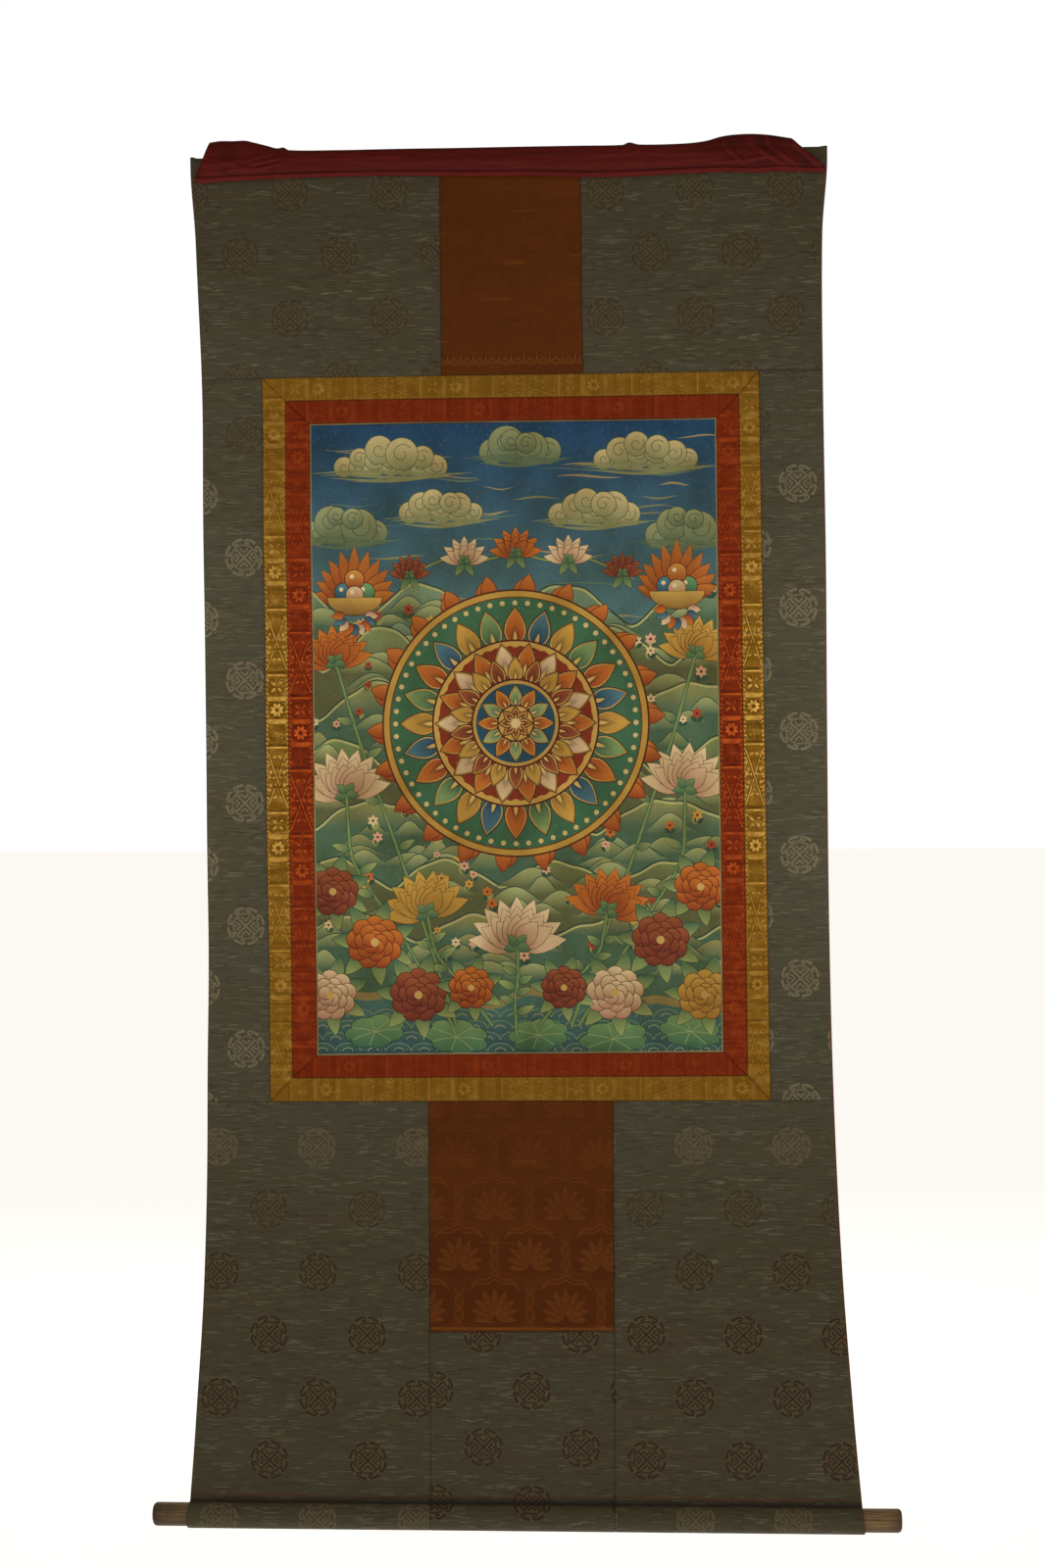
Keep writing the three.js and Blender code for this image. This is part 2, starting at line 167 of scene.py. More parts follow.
def hanging_line():
    """Distance down the cloth, depth and height of its mid-line, from the hem's raw edge to the tab's."""
    over = np.linspace(0, math.pi, 13)
    hem = np.c_[HEM_RADIUS * np.cos(over), HEM_FOLD_Z + HEM_RADIUS * np.sin(over)]
    rise = SLEEVE_STITCH_Z - ROD_AXIS_Z
    start = math.atan2(HEM_RADIUS, rise) + math.acos(SLEEVE_RADIUS / math.hypot(HEM_RADIUS, rise))
    around = np.linspace(start, 2 * math.pi - start, 61)
    sleeve = np.c_[-SLEEVE_RADIUS * np.sin(around), ROD_AXIS_Z + SLEEVE_RADIUS * np.cos(around)]
    tab = [(HEM_RADIUS, SLEEVE_STITCH_Z), (HEM_RADIUS, SLEEVE_STITCH_Z + SLEEVE_TAB)]
    line = np.vstack([[(HEM_RADIUS, -TOP_HEM)], hem, [(-HEM_RADIUS, SLEEVE_STITCH_Z)], sleeve, tab])
    run = np.r_[0, np.cumsum(np.hypot(*np.diff(line, axis=0).T))]
    return run - run[len(hem)] - HEM_FOLD_Z, line[:, 0], line[:, 1]


LINE_DOWN, LINE_Y, LINE_Z = hanging_line()
CLOTH_TOP = -LINE_DOWN[0]
CLOTH_FOOT = -LINE_DOWN[-1]


def soft_step(at, low, high):
    t = np.clip((at - low) / (high - low), 0, 1)
    return t * t * (3 - 2 * t)


def wave(x, z):
    """How far the cloth stands behind its plane, in mm: slow waves from rolling, and curled edges."""
    free = (1 - soft_step(z, -170, -45)) * soft_step(z, -1455, -1340)
    roll = 2.1 * np.sin(2 * math.pi * z / 310 + 0.6)
    cross = 0.9 * np.sin(2 * math.pi * (z + 0.45 * x) / 205 + 2.1)
    curl = 5 * np.abs(x / 350) ** 4 * np.sign(x) * np.sin(2 * math.pi * z / 870 + 0.9)
    return free * (roll + cross + curl)


def hang(flat, lift):
    """Points in metres of the hung cloth, for points of the flat cloth lifted off its mid-plane."""
    down = -flat[:, 1]
    y, z = np.interp(down, LINE_DOWN, LINE_Y), np.interp(down, LINE_DOWN, LINE_Z)
    near = 0.4
    along_y = np.interp(down + near, LINE_DOWN, LINE_Y) - np.interp(down - near, LINE_DOWN, LINE_Y)
    along_z = np.interp(down + near, LINE_DOWN, LINE_Z) - np.interp(down - near, LINE_DOWN, LINE_Z)
    size = np.hypot(along_y, along_z)
    away = wave(flat[:, 0], z)
    return np.c_[flat[:, 0], y + lift * along_z / size + away, z - lift * along_y / size] * MM


def inside(points, polygon):
    """Which points lie inside a polygon, by the even-odd rule."""
    found = np.zeros(len(points), bool)
    x, w = points.T
    for (x0, w0), (x1, w1) in zip(polygon, np.roll(polygon, -1, axis=0)):
        if w0 != w1:
            found ^= ((w0 > w) != (w1 > w)) & (x < (x1 - x0) * (w - w0) / (w1 - w0) + x0)
    return found


def edge_distance(points, outline):
    """Distance of each point from the nearest side of an outline."""
    nearest = np.full(len(points), np.inf)
    for start, end in zip(outline, np.roll(outline, -1, axis=0)):
        side = end - start
        t = np.clip((points - start) @ side / (side @ side), 0, 1)
        nearest = np.minimum(nearest, np.hypot(*(points - start - t[:, None] * side).T))
    return nearest


def run_points(start, end, spacing=6.0):
    """Points along a straight side, without its end."""
    start, end = np.array(start, float), np.array(end, float)
    count = max(int(np.hypot(*(end - start)) / spacing), 1)
    return start + (end - start) * (np.arange(count) / count)[:, None]


def four_sides(top_left, top_right, bottom_left, bottom_right):
    """Outline of a piece with four straight sides, anticlockwise as it is seen."""
    corners = [top_left, bottom_left, bottom_right, top_right]
    return np.vstack([run_points(a, b) for a, b in zip(corners, corners[1:] + corners[:1])])


def triangulate(points, sides, outline, followed=False):
    """Triangles that fill an outline between points and lines and, where followed, each point's place."""
    flat, _, triangles, sources = delaunay_2d_cdt(
        [Vector(point) for point in points.tolist()], sides.tolist(), [], 0, 1e-4, followed)[:4]
    flat = np.array([tuple(point) for point in flat])
    triangles = np.array([face for face in triangles if len(face) == 3])
    triangles = triangles[inside(flat[triangles].mean(axis=1), outline)]
    used, triangles = np.unique(triangles, return_inverse=True)
    place = np.zeros(len(points), int)
    if followed:
        for index, given in enumerate(sources):
            place[given] = np.searchsorted(used, index)
    return flat[used], triangles.reshape(-1, 3), place


def top_figure(centres, figures):
    """The figure on top at each place, which is the last one drawn there, or -1 for bare cloth."""
    owner = np.full(len(centres), -1)
    by_height = np.argsort(centres[:, 1])
    heights = centres[by_height, 1]
    for index, (polygon, _) in enumerate(figures):
        low, high = polygon.min(axis=0), polygon.max(axis=0)
        near = by_height[slice(*np.searchsorted(heights, (low[1], high[1])))]
        near = near[(centres[near, 0] > low[0]) & (centres[near, 0] < high[0])]
        owner[near[inside(centres[near], polygon)]] = index
    return owner


def sides_between(triangles, owner, count):
    """Sides of triangles that part two figures or lie on the outline, and which of them lie on it."""
    heads, tails = triangles.ravel(), np.roll(triangles, -1, axis=1).ravel()
    key, turned = heads * count + tails, tails * count + heads
    order = np.argsort(key)
    across = order[np.minimum(np.searchsorted(key, turned, sorter=order), len(key) - 1)]
    on_edge = key[across] != turned
    apart = on_edge | ((owner[across // 3] != np.repeat(owner, 3)) & (heads < tails))
    return np.c_[heads, tails][apart], on_edge[apart]


def cut_cloth(name, outline, materials, figures=(), spacing=6.0, relief=None, shadow=None, painted=False):
    """A closed sheet of cloth cut to a flat outline and hung, with figures woven or painted on its face.

    Each figure is a polygon with a woven depth, or with a wash of paint. The last one drawn lies on top.
    relief is how far the cloth stands out at a place, and shadow how near it is to a crease with painted
    shade.
    """
    beside = np.roll(outline, -1, axis=0) - np.roll(outline, 1, axis=0)
    inward = np.c_[-beside[:, 1], beside[:, 0]] / np.hypot(*beside.T)[:, None]
    low, high = outline.min(axis=0), outline.max(axis=0)
    rows = np.arange(low[1] + spacing / 2, high[1], spacing * 0.87)
    starts = low[0] + spacing * (0.3 + 0.5 * (np.arange(len(rows)) % 2))
    columns = [np.arange(start, high[0], spacing) for start in starts]
    grid = np.c_[np.concatenate(columns), np.repeat(rows, list(map(len, columns)))]
    grid = grid[inside(grid, outline)]
    grid = grid[edge_distance(grid, outline) > SEAM_WIDTH + spacing * 0.3]
    grid = np.vstack([outline + inward * SEAM_WIDTH, grid])

    # The figures' outlines are drawn first, and then only the stretches of them that no later figure covers
    polygons = [outline] + [polygon for polygon, _ in figures]
    first = np.cumsum([0] + list(map(len, polygons)))
    loops = [np.arange(a, b) for a, b in zip(first, first[1:])]
    sides = np.vstack([np.c_[loop, np.roll(loop, -1)] for loop in loops])
    flat, triangles, _ = triangulate(np.vstack(polygons), sides, outline)
    sides, _ = sides_between(triangles, top_figure(flat[triangles].mean(axis=1), figures), len(flat))
    shown, sides = np.unique(sides, return_inverse=True)
    flat, triangles, _ = triangulate(np.vstack([flat[shown], grid]), sides.reshape(-1, 2), outline)
    count = len(flat)
    owner = top_figure(flat[triangles].mean(axis=1), figures)
    sides, on_edge = sides_between(triangles, owner, count)
    edge, loop = np.unique(sides[on_edge], return_inverse=True)
    loop = loop.reshape(-1, 2)
    back_flat, back, place = triangulate(np.vstack([flat[edge], grid]), loop, outline, True)
    heads, tails = sides[on_edge].T
    back_heads, back_tails = count + place[loop].T
    rim = np.c_[tails, heads, back_heads, back_tails]
    back = back[:, ::-1] + count

    both = np.vstack([flat, back_flat])
    seam = edge_distance(both, outline)
    shape = relief(both[:, 0], both[:, 1]) if relief else np.zeros(len(both))
    drawn_in = SEAM_DEPTH * (1 - soft_step(seam, 0, SEAM_WIDTH))
    lift = shape + np.where(np.arange(len(both)) < count, CLOTH_HALF - drawn_in, -CLOTH_HALF)
    mesh = bpy.data.meshes.new(name)
    mesh.from_pydata(hang(both, lift).tolist(), [], triangles.tolist() + back.tolist() + rim.tolist())
    for material in materials:
        mesh.materials.append(material)
    kinds = np.repeat([0, 1, 2], [len(triangles), len(back), len(rim)])
    mesh.polygons.foreach_set("material_index", kinds)
    corners = np.r_[triangles.ravel(), back.ravel(), rim.ravel()]
    cut = mesh.uv_layers.new(name="cloth")
    cut.uv.foreach_set("vector", (both[corners] * MM).ravel())
    # How near each place is to a seam or a shaded crease, for the painted shade there
    near_seam = seam + 0.6
    if shadow:
        near_seam = np.minimum(near_seam, shadow(both[:, 0], both[:, 1]))
    mesh.attributes.new("seam", "FLOAT", "POINT").data.foreach_set("value", near_seam)

    if painted:
        from_colour, to_colour = (np.array([linear(wash[i]) for _, wash in figures]) for i in (0, 1))
        start, way = (np.array([wash[i] for _, wash in figures], float) for i in (2, 3))
        way -= start
        mine = np.repeat(owner, 3)
        run = ((flat[triangles.ravel()] - start[mine]) * way[mine]).sum(axis=1)
        t = np.clip(run / (way * way).sum(axis=1)[mine], 0, 1)[:, None]
        paint = np.ones((len(corners), 4))
        paint[:len(mine)] = from_colour[mine] * (1 - t) + to_colour[mine] * t
        mesh.attributes.new("paint", "FLOAT_COLOR", "CORNER").data.foreach_set("color", paint.ravel())
    else:
        depth = np.r_[[value for _, value in figures], 0.0][owner]
        woven = mesh.attributes.new("figure", "FLOAT", "FACE")
        woven.data.foreach_set("value", np.r_[depth, np.zeros(len(back) + len(rim))])
    mesh.shade_smooth()
    mesh.set_sharp_from_angle(angle=math.radians(60))
    piece = bpy.data.objects.new(name, mesh)
    bpy.context.collection.objects.link(piece)
    return piece


def sew_in(piece, node_name):
    """Attaches a piece of cloth to the scroll's body and hides the model's part that it stands for."""
    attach(piece, "root")
    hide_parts(node_name)


def disc(x, w, radius, count=32, scallops=0, depth=0.0):
    """Outline of a round, scalloped where it has scallops."""
    angle = np.arange(count) * 2 * math.pi / count
    reach = radius * (1 - depth * (1 - np.abs(np.sin(angle * scallops / 2)))) if scallops else radius
    return np.c_[x + reach * np.cos(angle), w + reach * np.sin(angle)]


def petal(x, w, lean, start, length, width, count=7):
    """Outline of a pointed petal on a spoke from a centre. lean is its angle from upright."""
    t = np.linspace(0, 1, count)
    half = width / 2 * np.sin(math.pi * t ** 0.72) ** 0.85
    out = np.r_[start + length * t, (start + length * t)[-2:0:-1]]
    side = np.r_[half, -half[-2:0:-1]]
    return np.c_[x + out * math.sin(lean) + side * math.cos(lean),
                 w + out * math.cos(lean) - side * math.sin(lean)]


def ribbon(line, width):
    """Outline of a stroke along a line, of one width or of a width at each point."""
    line = np.array(line, float)
    way = np.gradient(line, axis=0)
    side = np.c_[-way[:, 1], way[:, 0]] / np.hypot(*way.T)[:, None] * np.reshape(width, (-1, 1)) / 2
    return np.vstack([line + side, (line - side)[::-1]])


def curl(x, w, radius, start, turns, count=14):
    """Points of a spiral that closes in on its centre."""
    t = np.linspace(0, 1, count)
    angle = start + turns * 2 * math.pi * t
    reach = radius * (1 - 0.78 * t)
    return np.c_[x + reach * np.cos(angle), w + reach * np.sin(angle)]


brush = np.random.default_rng(11)
picture = []
canvas_outline = four_sides(**CANVAS)
PICTURE_X = 6.5
PICTURE_LEFT, PICTURE_RIGHT = -226, 240
SKY_TOP = -296.0
POND_FOOT = -1000
LEAF_LINE = "#263a30"
GILT = "#c2a05a"


def wash(polygon, first, last=None, start=None, end=None):
    """Lays a wash of one colour, or one that runs into another from its top to its foot or as given."""
    high, low = polygon[:, 1].max(), polygon[:, 1].min() - 0.01
    picture.append((polygon, (first, last or first, start or (0, high), end or (0, low))))


def lined(polygon, line_colour, grow, *colours):
    """A wash with a thin line of another colour round it."""
    middle = polygon.mean(axis=0)
    reach = np.hypot(*(polygon - middle).T)[:, None]
    wash(middle + (polygon - middle) * (1 + grow / np.maximum(reach, grow)), line_colour)
    wash(polygon, *colours)


# Sky with thin drifts of cloud
wash(canvas_outline, "#1d4266", "#4f6f6a", (0, SKY_TOP), (0, -560))
for _ in range(46):
    x, w = PICTURE_X + brush.uniform(-215, 215), brush.uniform(-520, -303)
    reach = brush.uniform(14, 52)
    t = np.linspace(0, 1, 12)
    drift = np.c_[x + reach * (2 * t - 1), w + 1.6 * np.sin(5 * t + x)]
    stroke = ribbon(drift, 0.3 + brush.uniform(0.9, 2.4) * np.sin(math.pi * t))
    wash(stroke, brush.choice(["#7d7c55", "#5d7561", "#98895f"]))


def cloud(x, w, width, height, shades):
    """A bank of cloud with a scalloped crown and a curl in each of its lobes."""
    lobes = max(int(width / 17), 3)
    for row, (share, rise) in enumerate(((1.0, 0.0), (0.72, 0.36), (0.4, 0.68))):
        number = max(int(lobes * share), 2)
        for lobe in range(number):
            spot = x + width * share * ((lobe + 0.5) / number - 0.5) + brush.uniform(-1.5, 1.5)
            size = width * share / number * brush.uniform(0.58, 0.74)
            level = w + height * rise + size * 0.16 * math.sin(3.1 * lobe + row)
            lined(disc(spot, level, size, 20), shades[2], 0.8, shades[0], shades[1])
            way = 1 if (lobe + row) % 2 else -1
            wash(ribbon(curl(spot, level, size * 0.68, 0.6, 1.1 * way), 0.8), shades[2])
    t = np.linspace(0, 1, 16)
    for tail in range(3):
        spread = x + width * (t - 0.5) * (1.5 - 0.2 * tail)
        sweep = np.c_[spread, w - 7 - 3.4 * tail + 2 * np.sin(6 * t + tail)]
        wash(ribbon(sweep, 0.3 + 3.2 * np.sin(math.pi * t)), shades[1])


PALE_CLOUD = ("#c2b07c", "#7f8258", "#4d5a40")
GREEN_CLOUD = ("#93976a", "#5a6b4e", "#3b4c3f")
for place in ((-130, -345, 120, 24), (152, -340, 110, 22), (12, -330, 80, 16), (-180, -418, 84, 26),
              (194, -424, 80, 28), (-74, -396, 86, 18), (94, -400, 92, 19)):
    cloud(*place, PALE_CLOUD if place[2] > 84 else GREEN_CLOUD)


def down_to(ridge, slope):
    """Sorts the mounds of a slope so that the nearer, lower ones lie over the farther ones."""
    return slope[1] - ridge[slope[0]]


def hill(level, swing, length, phase, top_colour, foot_colour):
    """A range of hills across the picture, with mounds on its slope and flowers in tufts of leaves."""
    x = np.linspace(PICTURE_LEFT, PICTURE_RIGHT, 94)
    ridge = level + swing * np.abs(np.sin(math.pi * x / length + phase)) ** 1.4
    ridge = ridge + 3 * np.sin(x / 17 + 5 * phase) + 1.3 * np.sin(x / 6.1 + phase)
    foot = [(PICTURE_RIGHT, level - 110), (PICTURE_LEFT, level - 110)]
    wash(np.vstack([np.c_[x, ridge], foot]), top_colour, foot_colour,
         (0, level + swing), (0, level + swing * 0.1))
    wash(ribbon(np.c_[x, ridge], 1.4), "#2c4038")
    wash(ribbon(np.c_[x, ridge - 2.6], 2.2), "#a5a56c")
    slopes = [(brush.integers(2, 92), brush.uniform(swing * 0.6, swing * 0.6 + 52)) for _ in range(26)]
    for at, down in sorted(slopes, key=lambda slope: down_to(ridge, slope)):
        span, rise = brush.uniform(22, 46), brush.uniform(12, 24)
        t = np.linspace(-1, 1, 17)
        crest = np.c_[x[at] + span * t, ridge[at] - down + rise * np.cos(math.pi / 2 * t) ** 2]
        wash(crest, "#9aa06a" if at % 3 else top_colour, foot_colour)
        wash(ribbon(crest[3:14], 1.0), "#2c4a3e")
    for _ in range(16):
        at = brush.integers(2, 92)
        spot, w = x[at], ridge[at] - brush.uniform(6, 50)
        size = brush.uniform(6, 11)
        for lean in (-0.8, -0.27, 0.27, 0.8):
            leaf = petal(spot, w, lean, 0, size, size * 0.5, 5)
            wash(leaf, brush.choice(["#30483a", "#3a5540", "#8a8f56"]))
        bloom = brush.choice(["#b8652a", "#cdb588", "#96412a", "#bd9442", "#c89a7c"])
        for turn in range(6):
            wash(petal(spot, w + size, turn * 1.047, 0.6, size * 0.6, size * 0.4, 5), bloom)
        wash(disc(spot, w + size, size * 0.15, 8), "#4a2a18")


for index, (level, swing, length, phase) in enumerate((
    (-520, 46, 150, 0.4), (-566, 44, 128, 1.9), (-622, 40, 172, 0.9), (-684, 38, 140, 2.6),
    (-746, 36, 160, 1.3), (-806, 30, 122, 0.2), (-862, 24, 150, 2.2),
)):
    ridge_colour = ("#7b8f70", "#7d8c5c", "#8f9058", "#708452", "#8c8c54", "#75804e", "#8a8550")[index]
    hill(level, swing, length, phase, ridge_colour, ("#46604a", "#575c3c")[index % 2])

# Lotus pond along the foot of the picture
shore = np.linspace(PICTURE_LEFT, PICTURE_RIGHT, 60)
bank = -934 + 6 * np.sin(shore / 31) + 4 * np.sin(shore / 11)
pond_foot = [(PICTURE_RIGHT, POND_FOOT), (PICTURE_LEFT, POND_FOOT)]
wash(np.vstack([np.c_[shore, bank + 9], pond_foot]), "#8a7a4c", "#6b5a34")
wash(np.vstack([np.c_[shore, bank], pond_foot]), "#46675c", "#27444d")
for row in range(5):
    w = -950 - 12.4 * row
    for step in range(17):
        x = -222 + 28 * step + 14 * (row % 2)
        t = np.linspace(0, math.pi, 11)
        for ring, colour in ((13.5, "#6f8463"), (9.5, "#41655c"), (5.5, "#8d8f66")):
            wash(ribbon(np.c_[x + ring * np.cos(t), w + ring * 0.62 * np.sin(t)], 1.0), colour)


def blossom(x, w, size, lean, shades, petals=9):
    """A lotus seen from the side: three fans of petals, each petal paler at its tip, with small leaves at
    its foot.
    """
    for count, reach, spread in ((petals, 1.0, 1.45), (petals - 2, 0.8, 1.1), (petals - 4, 0.62, 0.7)):
        for i in range(count):
            turn = lean + spread * (2 * i / (count - 1) - 1)
            base, tip = (x, w), (x + size * math.sin(turn), w + size * math.cos(turn))
            edge = petal(x, w, turn, size * 0.04, size * reach, size * 0.44)
            lined(edge, shades[2], 0.7, shades[0], shades[1], base, tip)
    for side in (-1.9, -0.7, 0.7, 1.9):
        lined(petal(x, w, lean + side, 0, size * 0.3, size * 0.2, 6), LEAF_LINE, 0.5, "#6d8450", "#3c6146")


def peony(x, w, size, shades):
    """A full round flower seen from above, in three rings of lobed petals."""
    for i in range(7):
        turn = 2 * math.pi * i / 7 + 0.3
        lined(petal(x, w, turn, size * 0.5, size * 0.95, size * 0.5), LEAF_LINE, 0.7, "#3c6146", "#8f9a5c")
    for count, reach, turned in ((9, 0.64, 0.0), (7, 0.4, 0.4), (5, 0.19, 0.1)):
        for i in range(count):
            turn = 2 * math.pi * (i + turned) / count
            spot = (x + size * reach * math.sin(turn), w + size * reach * math.cos(turn) * 0.9)
            lined(disc(*spot, size * (0.2 + 0.18 * reach), 12), shades[2], 0.8, shades[1], shades[0])
    wash(disc(x, w, size * 0.14, 10), GILT)


def stem(points, width, colour):
    """A smooth stem through a few points."""
    points = np.array(points, float)
    t = np.linspace(0, len(points) - 1, 12 * len(points))
    line = np.stack([np.interp(t, range(len(points)), column) for column in points.T], axis=1)
    for _ in range(14):
        line[1:-1] = (line[:-2] + 2 * line[1:-1] + line[2:]) / 4
    wash(ribbon(line, width + 1.2), LEAF_LINE)
    wash(ribbon(line, width), colour)
    return line


def lotus_leaf(x, w, size, lean):
    """A round lotus leaf seen aslant, with its veins."""
    rim = disc(x, w, size, 28, 7, 0.16)
    rim[:, 1] = w + (rim[:, 1] - w) * 0.55 + (rim[:, 0] - x) * lean
    lined(rim, "#223a30", 0.9, "#6b8a58", "#335c44")
    for i in range(7):
        turn = math.pi * 2 * i / 7
        rise = 0.44 * math.sin(turn) + 0.8 * lean * math.cos(turn)
        tip = (x + 0.8 * size * math.cos(turn), w + rise * size)
        wash(ribbon([(x, w), ((x + tip[0]) / 2, (w + tip[1]) / 2 + 0.6), tip], 0.7), "#8c9a63")


CREAM = ("#a0705a", "#d2bd92", "#5a3d2c")
ORANGE = ("#8a3a1c", "#bd6f2a", "#4a1f14")
RED = ("#6a2b22", "#93512f", "#3f1a14")
GOLD = ("#94692a", "#bf9844", "#4d3a1c")
BLUE = ("#1f3f55", "#4d7480", "#152a38")
for place in ((-150, -966, 34, 0.1), (-60, -972, 36, -0.1), (30, -970, 34, 0.06),
              (112, -974, 38, 0.08), (196, -966, 34, -0.12)):
    lotus_leaf(*place)
SPRAYS = (
    (((-60, -960), (-112, -800), (-168, -640), (-192, -560)), 40, -0.1, ORANGE),
    (((66, -960), (126, -800), (180, -640), (204, -553)), 40, 0.1, GOLD),
    (((-64, -960), (-120, -860), (-176, -780), (-180, -704)), 48, -0.1, CREAM),
    (((74, -960), (136, -860), (190, -780), (192, -700)), 48, 0.1, CREAM),
    (((-20, -960), (-50, -920), (-84, -880), (-92, -836)), 46, -0.2, GOLD),
    (((30, -960), (62, -920), (98, -880), (106, -834)), 46, 0.2, ORANGE),
    (((6, -970), (4, -930), (8, -910), (7, -872)), 52, 0.0, CREAM),
)
for route, size, lean, shades in SPRAYS:
    line = stem(route, 3.0, "#6d8450")
    for at in range(9, len(line) - 9, 5):
        side = 1 if at % 2 else -1
        turn = lean + side * 1.15
        tip = (line[at][0] + 20 * math.sin(turn), line[at][1] + 20 * math.cos(turn))
        lined(petal(*line[at], turn, 1, brush.uniform(16, 24), 9), LEAF_LINE, 0.7, "#3c6146", "#8f9a5c",
              tuple(line[at]), tip)
    blossom(*line[-1], size, lean, shades)
for flower in ((-196, -812, 30, RED), (208, -808, 30, ORANGE), (-150, -868, 33, ORANGE),
               (164, -866, 33, RED), (-200, -926, 31, CREAM), (212, -926, 31, GOLD), (-102, -926, 33, RED),
               (114, -924, 33, CREAM), (-44, -918, 26, ORANGE), (58, -918, 26, RED)):
    peony(*flower)

# Great lotus medallion: rings of petals on a green ground inside a flaming gold rim
MEDALLION = (PICTURE_X, -628.0)


def petal_ring(count, start, length, width, shades, turned=0.0):
    """A ring of the medallion's petals, in colours by turns, each with a gold edge and a tongue."""
    for i in range(count):
        lean = 2 * math.pi * (i + turned) / count
        way = np.array((math.sin(lean), math.cos(lean)))
        base, tip = tuple(MEDALLION + way * start), tuple(MEDALLION + way * (start + length))
        first, last, line = shades[i % len(shades)]
        wash(petal(*MEDALLION, lean, start - 1, length + 2.6, width + 2.4), line)
        wash(petal(*MEDALLION, lean, start, length, width), GILT, "#96722f", base, tip)
        wash(petal(*MEDALLION, lean, start + 0.6, length - 3.0, width - 3.2), first, last, base, tip)
        wash(petal(*MEDALLION, lean, start + 1.0, length * 0.58, width * 0.38), line, last, base, tip)
        wash(petal(*MEDALLION, lean, start + 1.0, length * 0.36, width * 0.18), GILT)


def ring(radius, colour, scallops=0, depth=0.0):
    wash(disc(*MEDALLION, radius, 96, scallops, depth), colour)


for i in range(44):
    lean = 2 * math.pi * i / 44
    flame = petal(*MEDALLION, lean + 0.05 * (-1) ** i, 138, 20 + 6 * (i % 2), 17)
    lined(flame, "#5a2413", 0.9, "#b9702e", "#8a3a1a")
ring(147, "#4d2a16")
ring(145, "#b08a3e")
ring(139, "#5b3a1c")
ring(137.5, "#3a6247")
for i in range(60):
    lean = 2 * math.pi * i / 60
    wash(disc(MEDALLION[0] + 132 * math.sin(lean), MEDALLION[1] + 132 * math.cos(lean), 2.8, 10), "#c3ab72")
petal_ring(24, 86, 41, 24, (ORANGE, BLUE, GOLD, ("#2c553f", "#7f9a60", "#1d3a2c")))
ring(92, "#4a2114")
ring(90, "#b9954a")
ring(85.5, "#7a2f18", 40, 0.03)
petal_ring(18, 52, 36, 21, (ORANGE, CREAM), 0.5)
petal_ring(18, 45, 28, 16, (GOLD, RED))
ring(49, "#4a2114")
ring(47, "#b08c46")
ring(43.5, "#24485a")
petal_ring(12, 18, 24, 14, (("#4a6f52", "#9aa870", "#1f3a2e"), ORANGE))
ring(20.5, "#4a2114")
ring(18.8, "#b9954a")
petal_ring(8, 4, 14, 9, (RED,))
ring(5.4, "#cbb47e")

# Bowls of jewels among flames, at both sides under the clouds
JEWELS = ((-12, 17, 10, "#4a7a88", "#1f3f55"), (12, 17, 10, "#6a9460", "#2c553f"),
          (0, 31, 10.5, "#c28a3c", "#8a3a1c"), (0, 14, 9.5, "#cbb58a", "#9a5a34"))
for x, w in ((-170, -500), (184, -496)):
    for tongue in range(11):
        lean = (tongue - 5) * 0.25
        lined(petal(x, w + 2, lean, 14, 52 - 4 * abs(tongue - 5), 15), "#54210f", 0.8, "#b06c2c", "#84361a")
    for dx, dw, size, first, last in JEWELS:
        lined(disc(x + dx, w + dw, size, 22), "#3f1a14", 0.9, first, last)
        wash(disc(x + dx - 2.8, w + dw + 3.4, 2.4, 10), "#d6c69a")
    t = np.linspace(math.pi, 2 * math.pi, 21)
    lined(np.c_[x + 30 * np.cos(t), w + 11 + 19 * np.sin(t)], "#3f2a14", 1.0, "#b9954a", "#7a5826")
    for i in range(9):
        foot_petal = petal(x, w - 6, (i - 4) * 0.36, -12, -14, 9)
        lined(foot_petal, "#3f1a14", 0.6, *(CREAM, BLUE, ORANGE)[i % 3][:2])

# Garland of blossoms under the clouds
GARLAND = ((-120, -470), (-70, -446), (-34, -452), (6, -440), (48, -452), (84, -446), (136, -470))
garland = stem(GARLAND, 2.2, "#7d8a52")
for at, shades, size in ((3, RED, 22), (22, CREAM, 26), (42, ORANGE, 28), (62, CREAM, 26), (80, RED, 22)):
    for side in (-1.2, 1.2, 2.6, -2.6):
        lined(petal(*garland[at], side, 2, 17, 8), LEAF_LINE, 0.6, "#3c6146", "#7f9058")
    blossom(*garland[at], size, 0.0, shades, 7)
# Pale line where the paint stops short of the seam
for a, b in (("top_left", "top_right"), ("bottom_left", "bottom_right"), ("top_left", "bottom_left"),
             ("top_right", "bottom_right")):
    wash(ribbon([CANVAS[a], CANVAS[b]], 3.6), "#8a7a55")


def cloth_material(name, roughness, specular, sheen, sheen_colour):
    """A new material for cloth, its shader, and the cloth's own places across and along, in mm."""
    material = bpy.data.materials.new(name)
    material.use_nodes = True
    tree = material.node_tree
    shader = tree.nodes["Principled BSDF"]
    shader.inputs["Roughness"].default_value = roughness
    shader.inputs["Specular IOR Level"].default_value = specular
    shader.inputs["Sheen Weight"].default_value = sheen
    shader.inputs["Sheen Roughness"].default_value = 0.45
    shader.inputs["Sheen Tint"].default_value = linear(sheen_colour)
    cut = node(tree, "ShaderNodeUVMap", uv_map="cloth")
    places = node(tree, "ShaderNodeMapping", {"Vector": cut.outputs[0], "Scale": (1000, 1000, 1)})
    return material, tree, shader, places.outputs[0]


def ranged(tree, value, low, high):
    """A value taken from between two limits to between 0 and 1."""
    return node(tree, "ShaderNodeMapRange", {0: value, 1: low, 2: high}).outputs[0]


